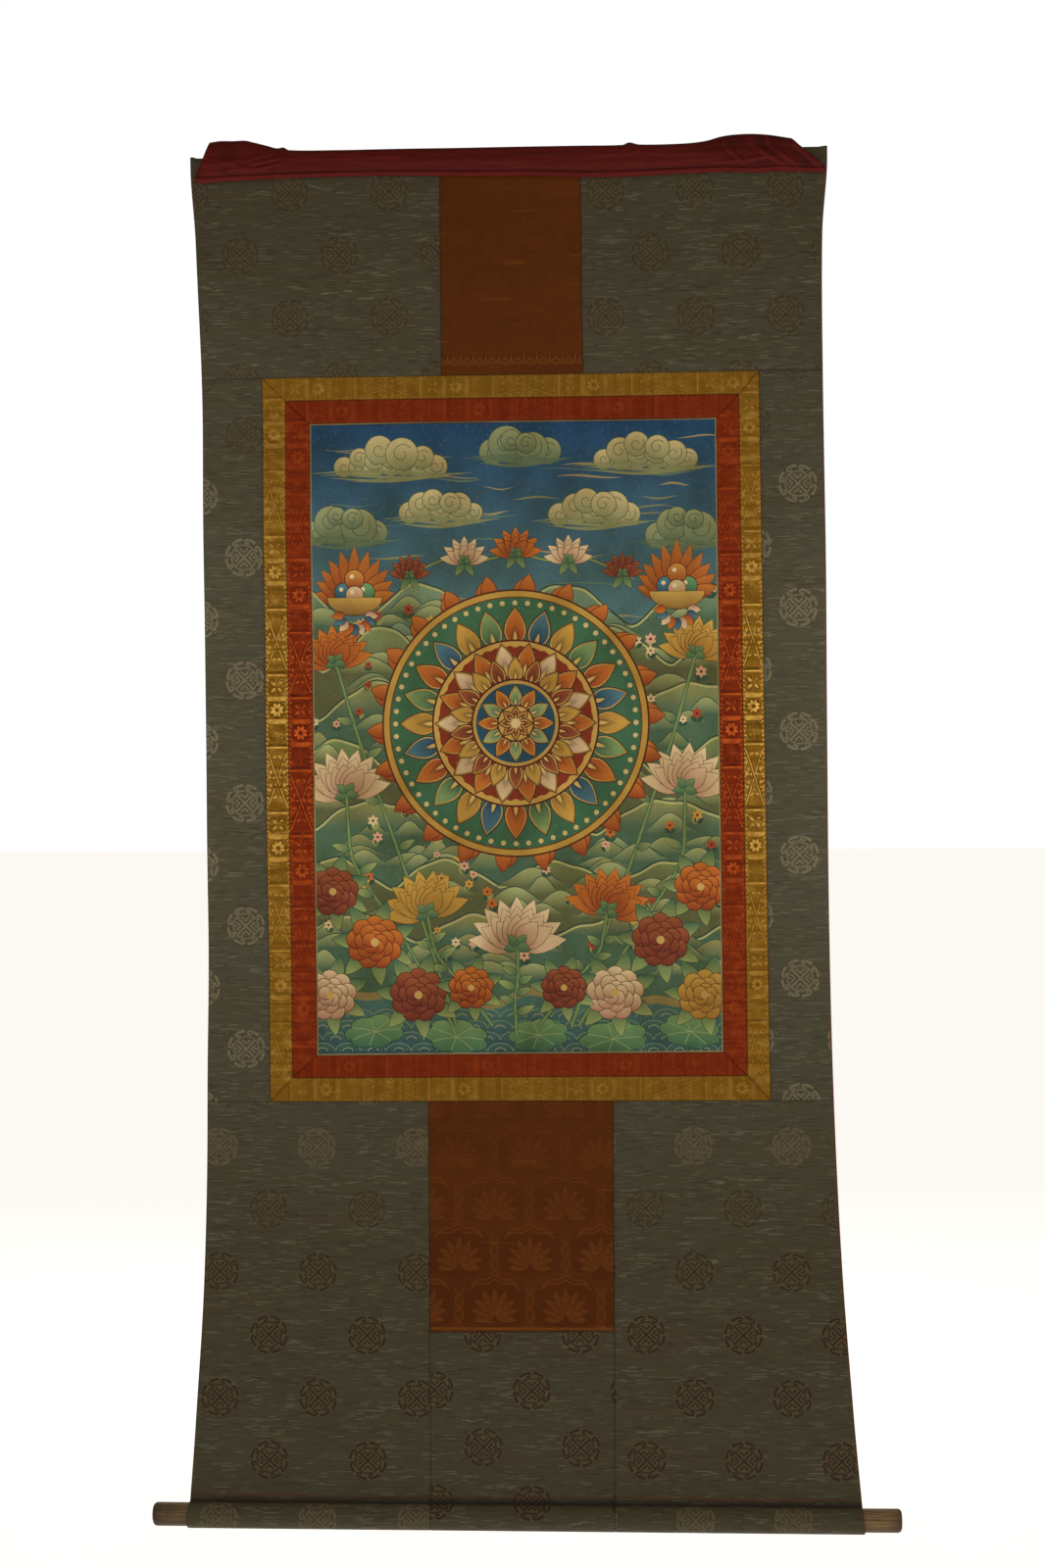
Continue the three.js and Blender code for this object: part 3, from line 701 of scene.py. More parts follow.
def noise(tree, places, across, along, detail=2.0, low=0.35, high=0.65, seed=0.0):
    """Woven or worn unevenness whose marks are so many mm across and along, from 0 to 1."""
    spread = node(tree, "ShaderNodeMapping", {
        "Vector": places, "Location": (seed, seed * 1.7, 0), "Scale": (1 / across, 1 / along, 1)})
    grain = node(tree, "ShaderNodeTexNoise", {"Vector": spread.outputs[0], "Scale": 1.0, "Detail": detail})
    return ranged(tree, grain.outputs[0], low, high)


def blend(tree, share, first, second, kind="MIX"):
    """Two colours mixed by a share. Either may be a hex colour or another node's output."""
    colours = [linear(c) if isinstance(c, str) else c for c in (first, second)]
    mixed = node(tree, "ShaderNodeMix", {0: share, 6: colours[0], 7: colours[1]},
                 data_type="RGBA", blend_type=kind)
    return mixed.outputs[2]


def sums(tree, operation, first, second):
    """One step of arithmetic on two values, either of which may be another node's output."""
    return node(tree, "ShaderNodeMath", {0: first, 1: second}, operation=operation).outputs[0]


def times(tree, first, second):
    return sums(tree, "MULTIPLY", first, second)


def finish_cloth(tree, shader, colour, height, strength, depth):
    """Darkens a cloth with painted shade towards its seams and creases, and gives it its colour and its
    raised threads.
    """
    seam = node(tree, "ShaderNodeAttribute", attribute_name="seam")
    # Painted shade: darker towards seams and shaded creases, read from the seam attribute
    clear = node(tree, "ShaderNodeMapRange", {0: seam.outputs["Fac"], 1: 0.0, 2: 2.0, 3: 0.22, 4: 1.0})
    wear_and_seam_shade = blend(tree, 1.0, colour, clear.outputs[0], "MULTIPLY")
    tree.links.new(wear_and_seam_shade, shader.inputs["Base Color"])
    raised = node(tree, "ShaderNodeBump", {"Height": height, "Strength": strength, "Distance": depth})
    tree.links.new(raised.outputs[0], shader.inputs["Normal"])


# Painted cotton canvas: matt mineral paint, rubbed and dulled with age, over a fine plain weave.
paint, tree, shader, places = cloth_material("painted_cotton_canvas", 0.8, 0.12, 0.0, "#ffffff")
pigment = node(tree, "ShaderNodeAttribute", attribute_name="paint").outputs["Color"]
age = noise(tree, places, 46, 60, 4, 0.3, 0.7)
colour = blend(tree, age, blend(tree, 1.0, pigment, "#d0c8ba", "MULTIPLY"), pigment)
wear_and_painted_light = noise(tree, places, 4, 5, 5, 0.58, 0.74, 31)
colour = blend(tree, times(tree, wear_and_painted_light, 0.2), colour, "#8a7c58")
thread = noise(tree, places, 2.2, 2.2, 1, 0.3, 0.7, 9)
colour = blend(tree, times(tree, thread, 0.1), colour, "#241d14")
finish_cloth(tree, shader, colour, thread, 0.3, 0.0005)

# Bare back of the canvas: sized cotton, browned by age and handling.
canvas_back, tree, shader, places = cloth_material("browned_cotton", 0.9, 0.15, 0.0, "#ffffff")
stain = noise(tree, places, 120, 90, 4, 0.35, 0.68)
thread = noise(tree, places, 6, 1.6, 2, 0.3, 0.7, 4)
colour = blend(tree, stain, "#6a5a3e", "#57472f")
colour = blend(tree, times(tree, thread, 0.3), colour, "#7b6a4a")
finish_cloth(tree, shader, colour, thread, 0.4, 0.0006)

painting_cloth = cut_cloth("painting_cloth", canvas_outline, (paint, canvas_back, canvas_back), picture,
                           7.0, painted=True)
sew_in(painting_cloth, "painting")

# Red and gold borders. Two rings of brocade strips, mitred at the corners and sewn edge to edge round
# the canvas. Gilt threads draw scrolls and rosettes on them, and rolling has creased them across.
RED_OUTSIDE = {"top_left": (-246.5, -271.0), "top_right": (252.5, -270.0),
               "bottom_left": (-241.5, -1017.0), "bottom_right": (258.0, -1014.0)}
GOLD_OUTSIDE = {"top_left": (-272.0, -245.5), "top_right": (274.5, -245.0),
                "bottom_left": (-266.0, -1043.0), "bottom_right": (283.0, -1041.0)}
WEAVE_REPEAT = 152.0
BORDER_CREASES = (-273, -318, -371, -452, -529, -553, -603, -620, -694, -704, -764, -842, -911, -958, -1003)


def border_creases(x, w):
    """Soft ridges and troughs pressed across the upright strips where the scroll was rolled."""
    lift = np.zeros(len(x))
    for i, place in enumerate(BORDER_CREASES):
        bent = w - place - 1.8 * math.sin(i * 2.4) * np.sin(x / 9 + i)
        lift += (0.5 if i % 3 else -0.5) * np.exp(-(bent / (2.2 + 0.7 * (i % 2))) ** 2)
    return lift


def strip_weave(half):
    """One repeat of a border's weave, across and along it: three cells, then a crossed block."""
    # Negative values are dark lines; positive ones are bright gilt figures drawn as painted glint, some
    # beside the dark lines
    found = []
    for at in (2.0, 82.0):
        found.append((ribbon([(-0.78 * half, at), (0, at), (0.78 * half, at)], 2.6), -1.0))
        found.append((ribbon([(-0.78 * half, at + 3), (0, at + 3), (0.78 * half, at + 3)], 1.4), 0.9))
    for at in (31.0, 56.0):
        found.append((ribbon([(-0.8 * half, at), (0, at + 0.6), (0.8 * half, at)], 5.0), 0.55))
        found.append((ribbon([(-0.8 * half, at + 3.4), (0, at + 3.6), (0.8 * half, at + 3.4)], 1.2), -0.7))
    for side in (-1, 1):
        for end in (-1, 1):
            scroll = curl(side * 0.4 * half, 18 + 5.4 * end, 5.0, side * end, 1.2 * side * end)
            found.append((ribbon(scroll, 1.4), -0.9))
            found.append((petal(0, 18, 0.8 * side + (0 if end > 0 else math.pi), 2, 6, 3, 5), 0.6))
            scroll = curl(side * 0.42 * half, 70 + 4.8 * end, 4.6, 2.2 * side, -1.3 * side * end)
            found.append((ribbon(scroll, 1.3), -0.8))
        t = np.linspace(0, 1, 14)
        bow = np.c_[side * half * (0.2 + 0.5 * np.sin(math.pi * t)), 60 + 20 * t]
        found.append((ribbon(bow, 1.2), -0.7))
    found.append((disc(0, 43.5, 0.74 * half, 26), -0.9))
    found.append((disc(0, 43.5, 0.74 * half - 1.5, 26), -0.35))
    for i in range(8):
        found.append((petal(0, 43.5, math.pi * (i + 0.5) / 4, 2.2, 0.46 * half, 3.2, 6), 0.9))
    found.append((disc(0, 43.5, 1.6, 10), -0.9))
    for side in (-1, 1):
        # Bright ticks along both edges, painted glints where the edges catch the light
        for i in range(30):
            reach = 0.12 + 0.1 * math.sin(i * 2.4 + side)
            tick = [(side * half * 0.96, 4.5 + 5 * i), (side * half * (0.92 - reach), 6.2 + 5 * i)]
            found.append((ribbon(tick, 1.1), 0.8))
        for offset, value in ((0.0, -0.95), (3.6, 0.7), (7.0, -0.7)):
            line = [(side * half * (1.6 * t - 0.8), 88 + 58 * t + offset) for t in np.linspace(0, 1, 9)]
            found.append((ribbon(line, 1.5), value))
        t = np.linspace(0, 1, 18)
        found.append((ribbon(np.c_[side * half * (0.52 + 0.14 * np.sin(9 * t)), 100 + 36 * t], 1.2), -0.7))
        for i in range(5):
            lean = side * (0.7 + 0.5 * (-1) ** i)
            found.append((petal(side * 0.55 * half, 103 + 7 * i, lean, 0, 5, 2.6, 5), 0.6))
            found.append((petal(0, 94 + 11 * i, side * 1.1, 1, 5.4, 2.6, 5), (0.6, -0.6)[i % 2]))
    return found


def border_strip(name, outside, inside_ring, side, materials):
    """A mitred strip between two rings of corners, its woven repeats clearest at half its height, as
    painted glint where the side lamps catch them.
    """
    ends = {"top": ("top_left", "top_right"), "bottom": ("bottom_left", "bottom_right"),
            "left": ("top_left", "bottom_left"), "right": ("top_right", "bottom_right")}[side]
    outer, inner = [np.array(outside[end]) for end in ends], [np.array(inside_ring[end]) for end in ends]
    corners = [outer[0], outer[1], inner[1], inner[0]]
    if side in ("top", "right"):
        corners.reverse()
    outline = np.vstack([run_points(a, b, 4) for a, b in zip(corners, corners[1:] + corners[:1])])
    start, end = (outer[0] + inner[0]) / 2, (outer[1] + inner[1]) / 2
    length = np.hypot(*(end - start))
    along = (end - start) / length
    across = np.array((-along[1], along[0]))
    half = abs((outer[0] - inner[0]) @ across) / 2
    upright = side in ("left", "right")
    figures = []
    for i in range(int(length / WEAVE_REPEAT) + 1):
        for polygon, value in strip_weave(half):
            placed = start + np.outer(polygon[:, 0], across)
            placed = placed + np.outer(polygon[:, 1] + WEAVE_REPEAT * i + 6, along)
            run = (polygon[:, 1].mean() + WEAVE_REPEAT * i) / length
            # Painted glint: the figures of the upright strips are strongest at half their height, those of
            # the level strips faint
            clear = 0.2 + 0.8 * math.exp(-((run - 0.48) / 0.24) ** 2) if upright else 0.16
            if run < 0.985:
                figures.append((placed, value * clear))
    relief = border_creases if upright else None
    piece = cut_cloth(name + "_cloth", outline, materials[upright], figures, 3.4, relief)
    sew_in(piece, name)


def gilt_brocade(name, ground, shade, line, gleam, ribs, shown):
    """Silk brocade with gilt threads: a ground that steps in tone, dark lines, and bright figures and
    patches in a painted gleam.
    """
    # shown is how strongly the tone steps and the painted gleam show: full on the upright strips, which the
    # side lamps rake, less on the level ones
    material, tree, shader, places = cloth_material(name, 0.5, 0.05, 0.02, gleam)
    figure = node(tree, "ShaderNodeAttribute", attribute_name="figure").outputs["Fac"]
    steps = noise(tree, places, *ribs, 2, 0.42, 0.58, 3)
    thread = noise(tree, places, 9, 1.7, 1, 0.3, 0.7, 8)
    wear_and_painted_light = noise(tree, places, 16, 10, 3, 0.5, 0.68, 25)
    colour = blend(tree, times(tree, steps, 0.5 + 0.5 * shown), shade, ground)
    colour = blend(tree, times(tree, thread, 0.22), colour, shade)
    # Painted sheen: patches of the gleam colour
    colour = blend(tree, times(tree, wear_and_painted_light, 0.16 * shown), colour, gleam)
    kept = noise(tree, places, 7, 6, 3, 0.36, 0.58, 41)
    kept = sums(tree, "ADD", times(tree, kept, 0.65), 0.35)
    dark = ranged(tree, figure, 0.0, -1.0)
    bright = ranged(tree, figure, 0.0, 1.0)
    bright = times(tree, bright, kept)
    colour = blend(tree, times(tree, times(tree, dark, kept), 0.9), colour, line)
    # Painted glint: bright figures take the gleam colour and a little more metal
    colour = blend(tree, bright, colour, gleam)
    shine = node(tree, "ShaderNodeMapRange", {0: bright, 3: 0.06, 4: 0.4}).outputs[0]
    tree.links.new(shine, shader.inputs["Metallic"])
    height = sums(tree, "ADD", times(tree, figure, 0.8), times(tree, thread, 0.5))
    finish_cloth(tree, shader, colour, height, 0.4, 0.0007)
    return material


def gilt_reverse(name, shade, back):
    """Back of a gilt brocade: loose floats, with little of the gilt."""
    material, tree, shader, places = cloth_material(name, 0.8, 0.15, 0.0, back)
    floats = noise(tree, places, 9, 1.4, 3, 0.3, 0.7, 2)
    finish_cloth(tree, shader, blend(tree, floats, shade, back), floats, 0.5, 0.0008)
    return material


RIBS_ACROSS, RIBS_UPRIGHT = (240, 8), (10, 240)
red_back = gilt_reverse("red_brocade_reverse", "#4a2413", "#5a3a22")
gold_back = gilt_reverse("gold_brocade_reverse", "#54401c", "#6a5530")
# The last colour of each set is the painted gleam of the gilt
red_tones = ("#702609", "#611e06", "#3c0f04", "#bd5820")
gold_tones = ("#775414", "#67470c", "#3a2807", "#dcb058")
red_brocade = ((gilt_brocade("red_brocade_level", *red_tones, RIBS_UPRIGHT, 0.35), red_back, red_back),
               (gilt_brocade("red_brocade", *red_tones, RIBS_ACROSS, 1.0), red_back, red_back))
gold_brocade = ((gilt_brocade("gold_brocade_level", *gold_tones, RIBS_UPRIGHT, 0.35), gold_back, gold_back),
                (gilt_brocade("gold_brocade", *gold_tones, RIBS_ACROSS, 1.0), gold_back, gold_back))
for side in ("top", "bottom", "left", "right"):
    border_strip("red_border_" + side, RED_OUTSIDE, CANVAS, side, red_brocade)
    border_strip("gold_border_" + side, GOLD_OUTSIDE, RED_OUTSIDE, side, gold_brocade)

# Brocade mount. Grey-green silk with a slubbed ground and brown roundels in a half-drop repeat, pieced
# round the gold border, hemmed over the top and sewn round the rod at the foot.
SIDE_EDGES = (
    (0, -350, 350), (-28, -349.3, 349.5), (-95, -344.3, 344.2), (-245, -339.5, 343.8),
    (-480, -337.4, 346.2), (-800, -334, 347.4), (-1040, -336.2, 351.5), (-1230, -341.5, 360),
    (-1380, -350, 371), (-1520, -361, 383.5),
)
EDGES_AT_BORDER_TOP = (-339.5, 343.8)
EDGES_AT_BORDER_FOOT = (-336.2, 351.5)
UPPER_PANEL = ((-74.0, -73.3), (80.5, 82.3))
LOWER_PANEL_SIDES = (-91.5, 111.3)
LOWER_PANEL_FOOT = (-1296.0, -1294.3)
ROUNDEL_RADIUS = 22.0


def through(rows, at):
    """Columns of a table at places along its first column, smooth through its rows."""
    table = np.array(sorted(rows), float)
    key, value = table[:, 0], table[:, 1:]
    last = len(key) - 1
    before, after = np.maximum(np.arange(last + 1) - 1, 0), np.minimum(np.arange(last + 1) + 1, last)
    slope = (value[after] - value[before]) / (key[after] - key[before])[:, None]
    at = np.clip(at, key[0], key[last])
    i = np.clip(np.searchsorted(key, at) - 1, 0, last - 1)
    span = (key[i + 1] - key[i])[:, None]
    t = (at - key[i])[:, None] / span
    s = 1 - t
    ends = value[i] * s * s * (1 + 2 * t) + value[i + 1] * t * t * (3 - 2 * t)
    return ends + span * s * t * (slope[i] * s - slope[i + 1] * t)


def cloth_height(w):
    return np.interp(-np.asarray(w, float), LINE_DOWN, LINE_Z)


def free_edge(column, top, bottom):
    """Points down a free side edge of the mount, closer together round the hem and the sleeve."""
    w = np.unique(np.r_[np.linspace(bottom, top, int((top - bottom) / 6) + 2),
                        np.arange(max(bottom, -8.0), min(top, 4.0), 0.7),
                        np.arange(bottom, min(top, SLEEVE_STITCH_Z + 6), 2.0)])[::-1]
    return np.c_[through(SIDE_EDGES, cloth_height(w))[:, column], w]


def seam_line(x_top, x_bottom, top, bottom, seam_top, seam_bottom):
    """Points down a straight sewn edge, which stays straight round the hem and the sleeve."""
    w = free_edge(0, top, bottom)[:, 1]
    t = (cloth_height(w) - seam_top) / (seam_bottom - seam_top)
    return np.c_[x_top + (x_bottom - x_top) * t, w]


def at_x(start, end, x):
    return start[1] + (end[1] - start[1]) * (x - start[0]) / (end[0] - start[0])


def upper_seam(x):
    return at_x(GOLD_OUTSIDE["top_left"], GOLD_OUTSIDE["top_right"], x)


def lower_seam(x):
    return at_x(GOLD_OUTSIDE["bottom_left"], GOLD_OUTSIDE["bottom_right"], x)


def panel(left, right):
    """Outline of a piece from its left edge, taken downwards, and its right edge, taken downwards."""
    foot, head = run_points(left[-1], right[-1]), run_points(right[0], left[0])
    return np.vstack([left, foot[1:], right[::-1], head[1:]])


def roundel(x, w, mirror, tint, stroke_value):
    """A woven roundel: a tinted scalloped round with cloud scrolls at its rim and a fret of chevrons."""
    r = ROUNDEL_RADIUS
    found = [(disc(x, w, r, 48, 8, 0.06), tint)]
    for i in range(8):
        turn = 2 * math.pi * i / 8
        arc = [(turn + t, 0.9) for t in np.linspace(0.08, 0.6, 5)]
        hook = [(turn + 0.7, 0.84), (turn + 0.66, 0.74), (turn + 0.5, 0.72), (turn + 0.42, 0.77)]
        scroll = [(mirror * reach * math.cos(a), reach * math.sin(a)) for a, reach in arc + hook]
        scroll = np.array(scroll) * r
        found.append((ribbon(scroll + (x, w), r * np.linspace(0.14, 0.09, 9)), stroke_value))
    found += [(disc(x, w, r * 0.66, 32), stroke_value), (disc(x, w, r * 0.59, 32), tint)]
    for side in (-1, 1):
        line = np.array([(-0.41 * side, -0.41), (0, 0), (0.41 * side, 0.41)]) * r
        found.append((ribbon(line + (x, w), r * 0.1), stroke_value))
        for chevron in ([(0.46, 0.2), (0.26, 0), (0.46, -0.2)], [(0.2, 0.46), (0, 0.26), (-0.2, 0.46)]):
            found.append((ribbon(np.array(chevron) * r * side + (x, w), r * 0.1), stroke_value))
        bar = np.array([(0.44, 0), (0.5, 0), (0.56, 0)])
        found.append((ribbon(bar * r * side + (x, w), r * 0.1), stroke_value))
    return found


def roundels(outline, origin, pitch, row_pitch, strength):
    """Roundels of a half-drop repeat that reach into an outline, those of alternate rows turned over."""
    low, high = outline.min(axis=0) - ROUNDEL_RADIUS, outline.max(axis=0) + ROUNDEL_RADIUS
    found = []
    for row in range(-20, 21):
        w = origin[1] + row * row_pitch
        for step in range(-8, 9):
            x = origin[0] + (step + 0.5 * (row % 2)) * pitch
            if low[0] < x < high[0] and low[1] < w < high[1]:
                found += roundel(x, w, 1 - 2 * (row % 2), *strength(x, w))
    return found


def sleeve_crease(x, w):
    """The cloth is drawn in along the stitches that close the sleeve, and stands out again below them."""
    from_stitch = w - SLEEVE_STITCH_Z
    return -0.9 * np.exp(-(from_stitch / 3.2) ** 2) + 0.3 * np.exp(-((from_stitch + 9) / 4) ** 2)


def sleeve_shadow(x, w):
    """How near a place is to that crease, for the painted shade that lies in it."""
    return np.where(w > SLEEVE_STITCH_Z - 1, 0.25, 0.35) * np.abs(w - SLEEVE_STITCH_Z + 1)


def mount_piece(node_name, slot, materials, outline, figures, holders, *shapes):
    piece = cut_cloth(node_name + "_cloth", outline, materials, figures, 6.0, *shapes)
    sew_in(piece, node_name)


def dashes(tree, places, length, thick, low, high, seed):
    """Marks one thread thick along the weft, dealt out at random and crowded in places, from 0 to 1."""
    split = node(tree, "ShaderNodeSeparateXYZ", {0: places})
    row = sums(tree, "FLOOR", sums(tree, "DIVIDE", split.outputs[1], thick), 0.0)
    row_key = sums(tree, "ADD", row, seed)
    shift = node(tree, "ShaderNodeTexWhiteNoise", {"W": row_key}, noise_dimensions="1D").outputs[0]
    column = sums(tree, "DIVIDE", split.outputs[0], length)
    column = sums(tree, "ADD", column, times(tree, shift, 9.0))
    column = sums(tree, "FLOOR", column, 0.0)
    key = node(tree, "ShaderNodeCombineXYZ", {0: column, 1: row, 2: seed}).outputs[0]
    chance = node(tree, "ShaderNodeTexWhiteNoise", {"Vector": key}, noise_dimensions="3D").outputs[0]
    crowd = noise(tree, places, 60, 13, 3, 0.3, 0.7, seed)
    chance = sums(tree, "ADD", chance, times(tree, crowd, 0.25))
    return ranged(tree, chance, low, high)


# Slubbed silk brocade: uneven weft threads leave short pale and dark dashes on a grey-green ground that
# drifts to brown. The threads are drawn about twice as thick as they are, so that they show.
brocade, tree, shader, places = cloth_material("slubbed_silk_brocade", 0.7, 0.2, 0.05, "#8d8a70")
figure = node(tree, "ShaderNodeAttribute", attribute_name="figure").outputs["Fac"]
pale = dashes(tree, places, 9, 1.2, 1.0, 1.2, 2.0)
pale_long = dashes(tree, places, 17, 1.2, 1.06, 1.2, 5.0)
deep = dashes(tree, places, 12, 1.2, 0.86, 1.14, 13.0)
seldom = dashes(tree, places, 190, 1.5, 1.12, 1.2, 23.0)
drift = noise(tree, places, 260, 42, 2, 0.34, 0.66, 21)
rib = noise(tree, places, 60, 1.1, 1, 0.3, 0.7, 5)
# Painted sheen: the ground is greyer at half height, where the side lamps rake across the strips, and
# browner above and below
from_middle = sums(tree, "ADD", node(tree, "ShaderNodeSeparateXYZ", {0: places}).outputs[1], 640.0)
from_middle = sums(tree, "ABSOLUTE", from_middle, 0.0)
beyond_side_sheen = ranged(tree, from_middle, 330.0, 560.0)
green_ground = blend(tree, drift, "#3f3a29", "#3d3c2d")
brown_ground = blend(tree, drift, "#3d3522", "#3a3725")
colour = blend(tree, beyond_side_sheen, green_ground, brown_ground)
colour = blend(tree, times(tree, rib, 0.3), colour, "#332d1c")
deep_share = times(tree, sums(tree, "MAXIMUM", deep, seldom), 0.5)
colour = blend(tree, deep_share, colour, "#221d12")
pale_share = times(tree, sums(tree, "MAXIMUM", pale, pale_long), 0.26)
colour = blend(tree, pale_share, colour, "#7f7c69")
dark_share = ranged(tree, figure, 0.0, -1.0)
brown_share = ranged(tree, figure, 0.0, 0.4)
sheen_share = ranged(tree, figure, 0.4, 1.0)
edge_share = ranged(tree, figure, -1.0, -2.0)
brown_thread = blend(tree, rib, "#4c3f27", "#423622")
colour = blend(tree, times(tree, brown_share, 0.9), colour, brown_thread)
colour = blend(tree, dark_share, colour, blend(tree, rib, "#231909", "#2b1f0e"))
# Painted sheen: pale grey strokes where the light catches the roundels' threads
colour = blend(tree, sheen_share, colour, blend(tree, rib, "#7c7762", "#68634f"))
colour = blend(tree, edge_share, colour, "#5c301c")
height = sums(tree, "ADD", sums(tree, "ADD", pale, times(tree, rib, 0.6)), figure)
finish_cloth(tree, shader, colour, height, 0.3, 0.0005)

# Reverse of the brocade: loose floats of the figure wefts, browner and duller than the face.
brocade_back, tree, shader, places = cloth_material("brocade_reverse", 0.85, 0.15, 0.0, "#8d8a70")
floats = noise(tree, places, 18, 1.4, 3, 0.35, 0.68, 6)
drift = noise(tree, places, 90, 60, 3, 0.36, 0.64, 11)
colour = blend(tree, floats, blend(tree, drift, "#4a4230", "#3d3a2a"), "#665d44")
finish_cloth(tree, shader, colour, floats, 0.5, 0.0008)

# Cut edge of the brocade: a red-brown selvedge.
selvedge, tree, shader, places = cloth_material("brown_selvedge", 0.8, 0.2, 0.0, "#ffffff")
fuzz = noise(tree, places, 3, 3, 2, 0.3, 0.7, 3)
finish_cloth(tree, shader, blend(tree, fuzz, "#4a2a18", "#5f4630"), fuzz, 0.5, 0.0006)
mount_materials = (brocade, brocade_back, selvedge)

left_top, right_top = map(upper_seam, EDGES_AT_BORDER_TOP)
left_low, right_low = map(lower_seam, EDGES_AT_BORDER_FOOT)
upper_left_line, upper_right_line = (
    seam_line(*sides, CLOTH_TOP, upper_seam(sides[1]), 0.0, GOLD_OUTSIDE["top_left"][1])
    for sides in UPPER_PANEL)


def faint(x, w):
    """Tint and strokes of a roundel above the picture."""
    return 0.3, -0.5


def strong(x, w):
    """Tint and strokes of a roundel below the picture: pale with painted sheen in the first row and on the
    sleeve.
    """
    # Elsewhere the roundels darken towards the foot, painted contrast for how the satin takes the light
    # there
    share = float(soft_step(-w, 1080, 1300))
    pale = w < SLEEVE_STITCH_Z - 8 or w > -1130
    return (0.06, 0.5) if pale else (0.22 + 0.18 * share, -0.4 - 0.6 * share)


def side_sheen(x, w):
    """Tint and strokes of a roundel beside the picture: pale grey strokes of painted sheen, but brown in
    the topmost.
    """
    return (0.24, -0.4) if w > -330 else (0.0, 0.66)


def sewn_edge(top, bottom):
    """Points down a straight edge, with both its ends."""
    return np.vstack([run_points(top, bottom), [bottom]])


def selvedge_line(top, bottom):
    """The woven red-brown edge down the right side."""
    return [(ribbon(free_edge(1, top - 1, bottom + 1) - (1.0, 0), 1.3), -1.8)]


upper_left = panel(free_edge(0, CLOTH_TOP, left_top), upper_left_line)
upper_right = panel(upper_right_line, free_edge(1, CLOTH_TOP, right_top))
mount_piece("upper_brocade_left", "green_brocade", mount_materials, upper_left,
            roundels(upper_left, (-240, -42.5), 110, 69, faint), [])
mount_piece("upper_brocade_right", "green_brocade", mount_materials, upper_right,
            roundels(upper_right, (108, -46), 98, 69, faint) + selvedge_line(CLOTH_TOP, right_top), [])

strip_left = panel(free_edge(0, left_top, left_low),
                   sewn_edge(GOLD_OUTSIDE["top_left"], GOLD_OUTSIDE["bottom_left"]))
strip_right = panel(sewn_edge(GOLD_OUTSIDE["top_right"], GOLD_OUTSIDE["bottom_right"]),
                    free_edge(1, right_top, right_low))
mount_piece("side_brocade_left", "green_brocade", mount_materials, strip_left,
            roundels(strip_left, (-292.5, -308), 100, 67.7, side_sheen), ["upper_brocade_left"])
mount_piece("side_brocade_right", "green_brocade", mount_materials, strip_right,
            roundels(strip_right, (316, -369), 100, 67.4, side_sheen) + selvedge_line(right_top, right_low),
            ["upper_brocade_right"])

stitches = [(ribbon(np.c_[np.arange(-372, 396, 6), np.full(128, SLEEVE_STITCH_Z + dw)], width), value)
            for dw, width, value in ((6, 1.2, -1.5), (3, 0.5, 0.0), (-1, 0.5, 0.0), (-4, 0.5, 0.0))]
below = [seam_line(x, x, lower_seam(x), CLOTH_FOOT, 0.0, -1.0) for x in LOWER_PANEL_SIDES]
lower_left = panel(free_edge(0, left_low, CLOTH_FOOT), below[0])
lower_right = panel(below[1], free_edge(1, right_low, CLOTH_FOOT))
lower_middle = panel(*(seam_line(x, x, foot, CLOTH_FOOT, 0.0, -1.0)
                       for x, foot in zip(LOWER_PANEL_SIDES, LOWER_PANEL_FOOT)))
mount_piece("lower_brocade_left", "green_brocade", mount_materials, lower_left,
            roundels(lower_left, (-324, -1093), 109, 69, strong) + stitches, ["side_brocade_left"],
            sleeve_crease, sleeve_shadow)
mount_piece("lower_brocade_right", "green_brocade", mount_materials, lower_right,
            roundels(lower_right, (199, -1091), 106, 68.8, strong) + stitches
            + selvedge_line(right_low, CLOTH_FOOT), ["side_brocade_right"],
            sleeve_crease, sleeve_shadow)
mount_piece("lower_centre_brocade", "green_brocade", mount_materials, lower_middle,
            roundels(lower_middle, (-33, -1297), 107, 62.5, strong) + stitches, ["lower_centre_panel"],
            sleeve_crease, sleeve_shadow)

# Damask panels. Two lengths of brown-orange satin damask let into the mount above and below the picture,
# with lotus flowers in a trellis of lozenges. The pattern shows best low down, where the light catches it.
LOTUS_PITCH = 78.0
LOTUS_ROW = 56.0
LOTUS_ORIGIN = (19.0, -1213.5)
LOTUS_FIELD = np.array([(0, 33), (14, 24), (30, 22), (34, 8), (34, -10), (30, -20), (12, -24), (0, -30)])


def fan_flower(x, w, width, height, value, petals=9):
    """A lotus in the weave: fans of broad petals, each edged by the darker ground."""
    found = []
    for count, reach, spread in ((petals, 1.0, 1.75), (petals - 2, 0.74, 1.35), (petals - 4, 0.48, 0.7)):
        for i in range(count):
            lean = (2 * i / max(count - 1, 1) - 1) * spread
            length = height * reach * (0.8 + 0.2 * math.cos(lean))
            broad = width * 0.2 * (0.6 + 0.4 * reach)
            found.append((petal(x, w, lean, height * 0.05, length, broad + 1.8, 7), -value))
            found.append((petal(x, w, lean, height * 0.05, length - 1.2, broad, 7), value))
    return found


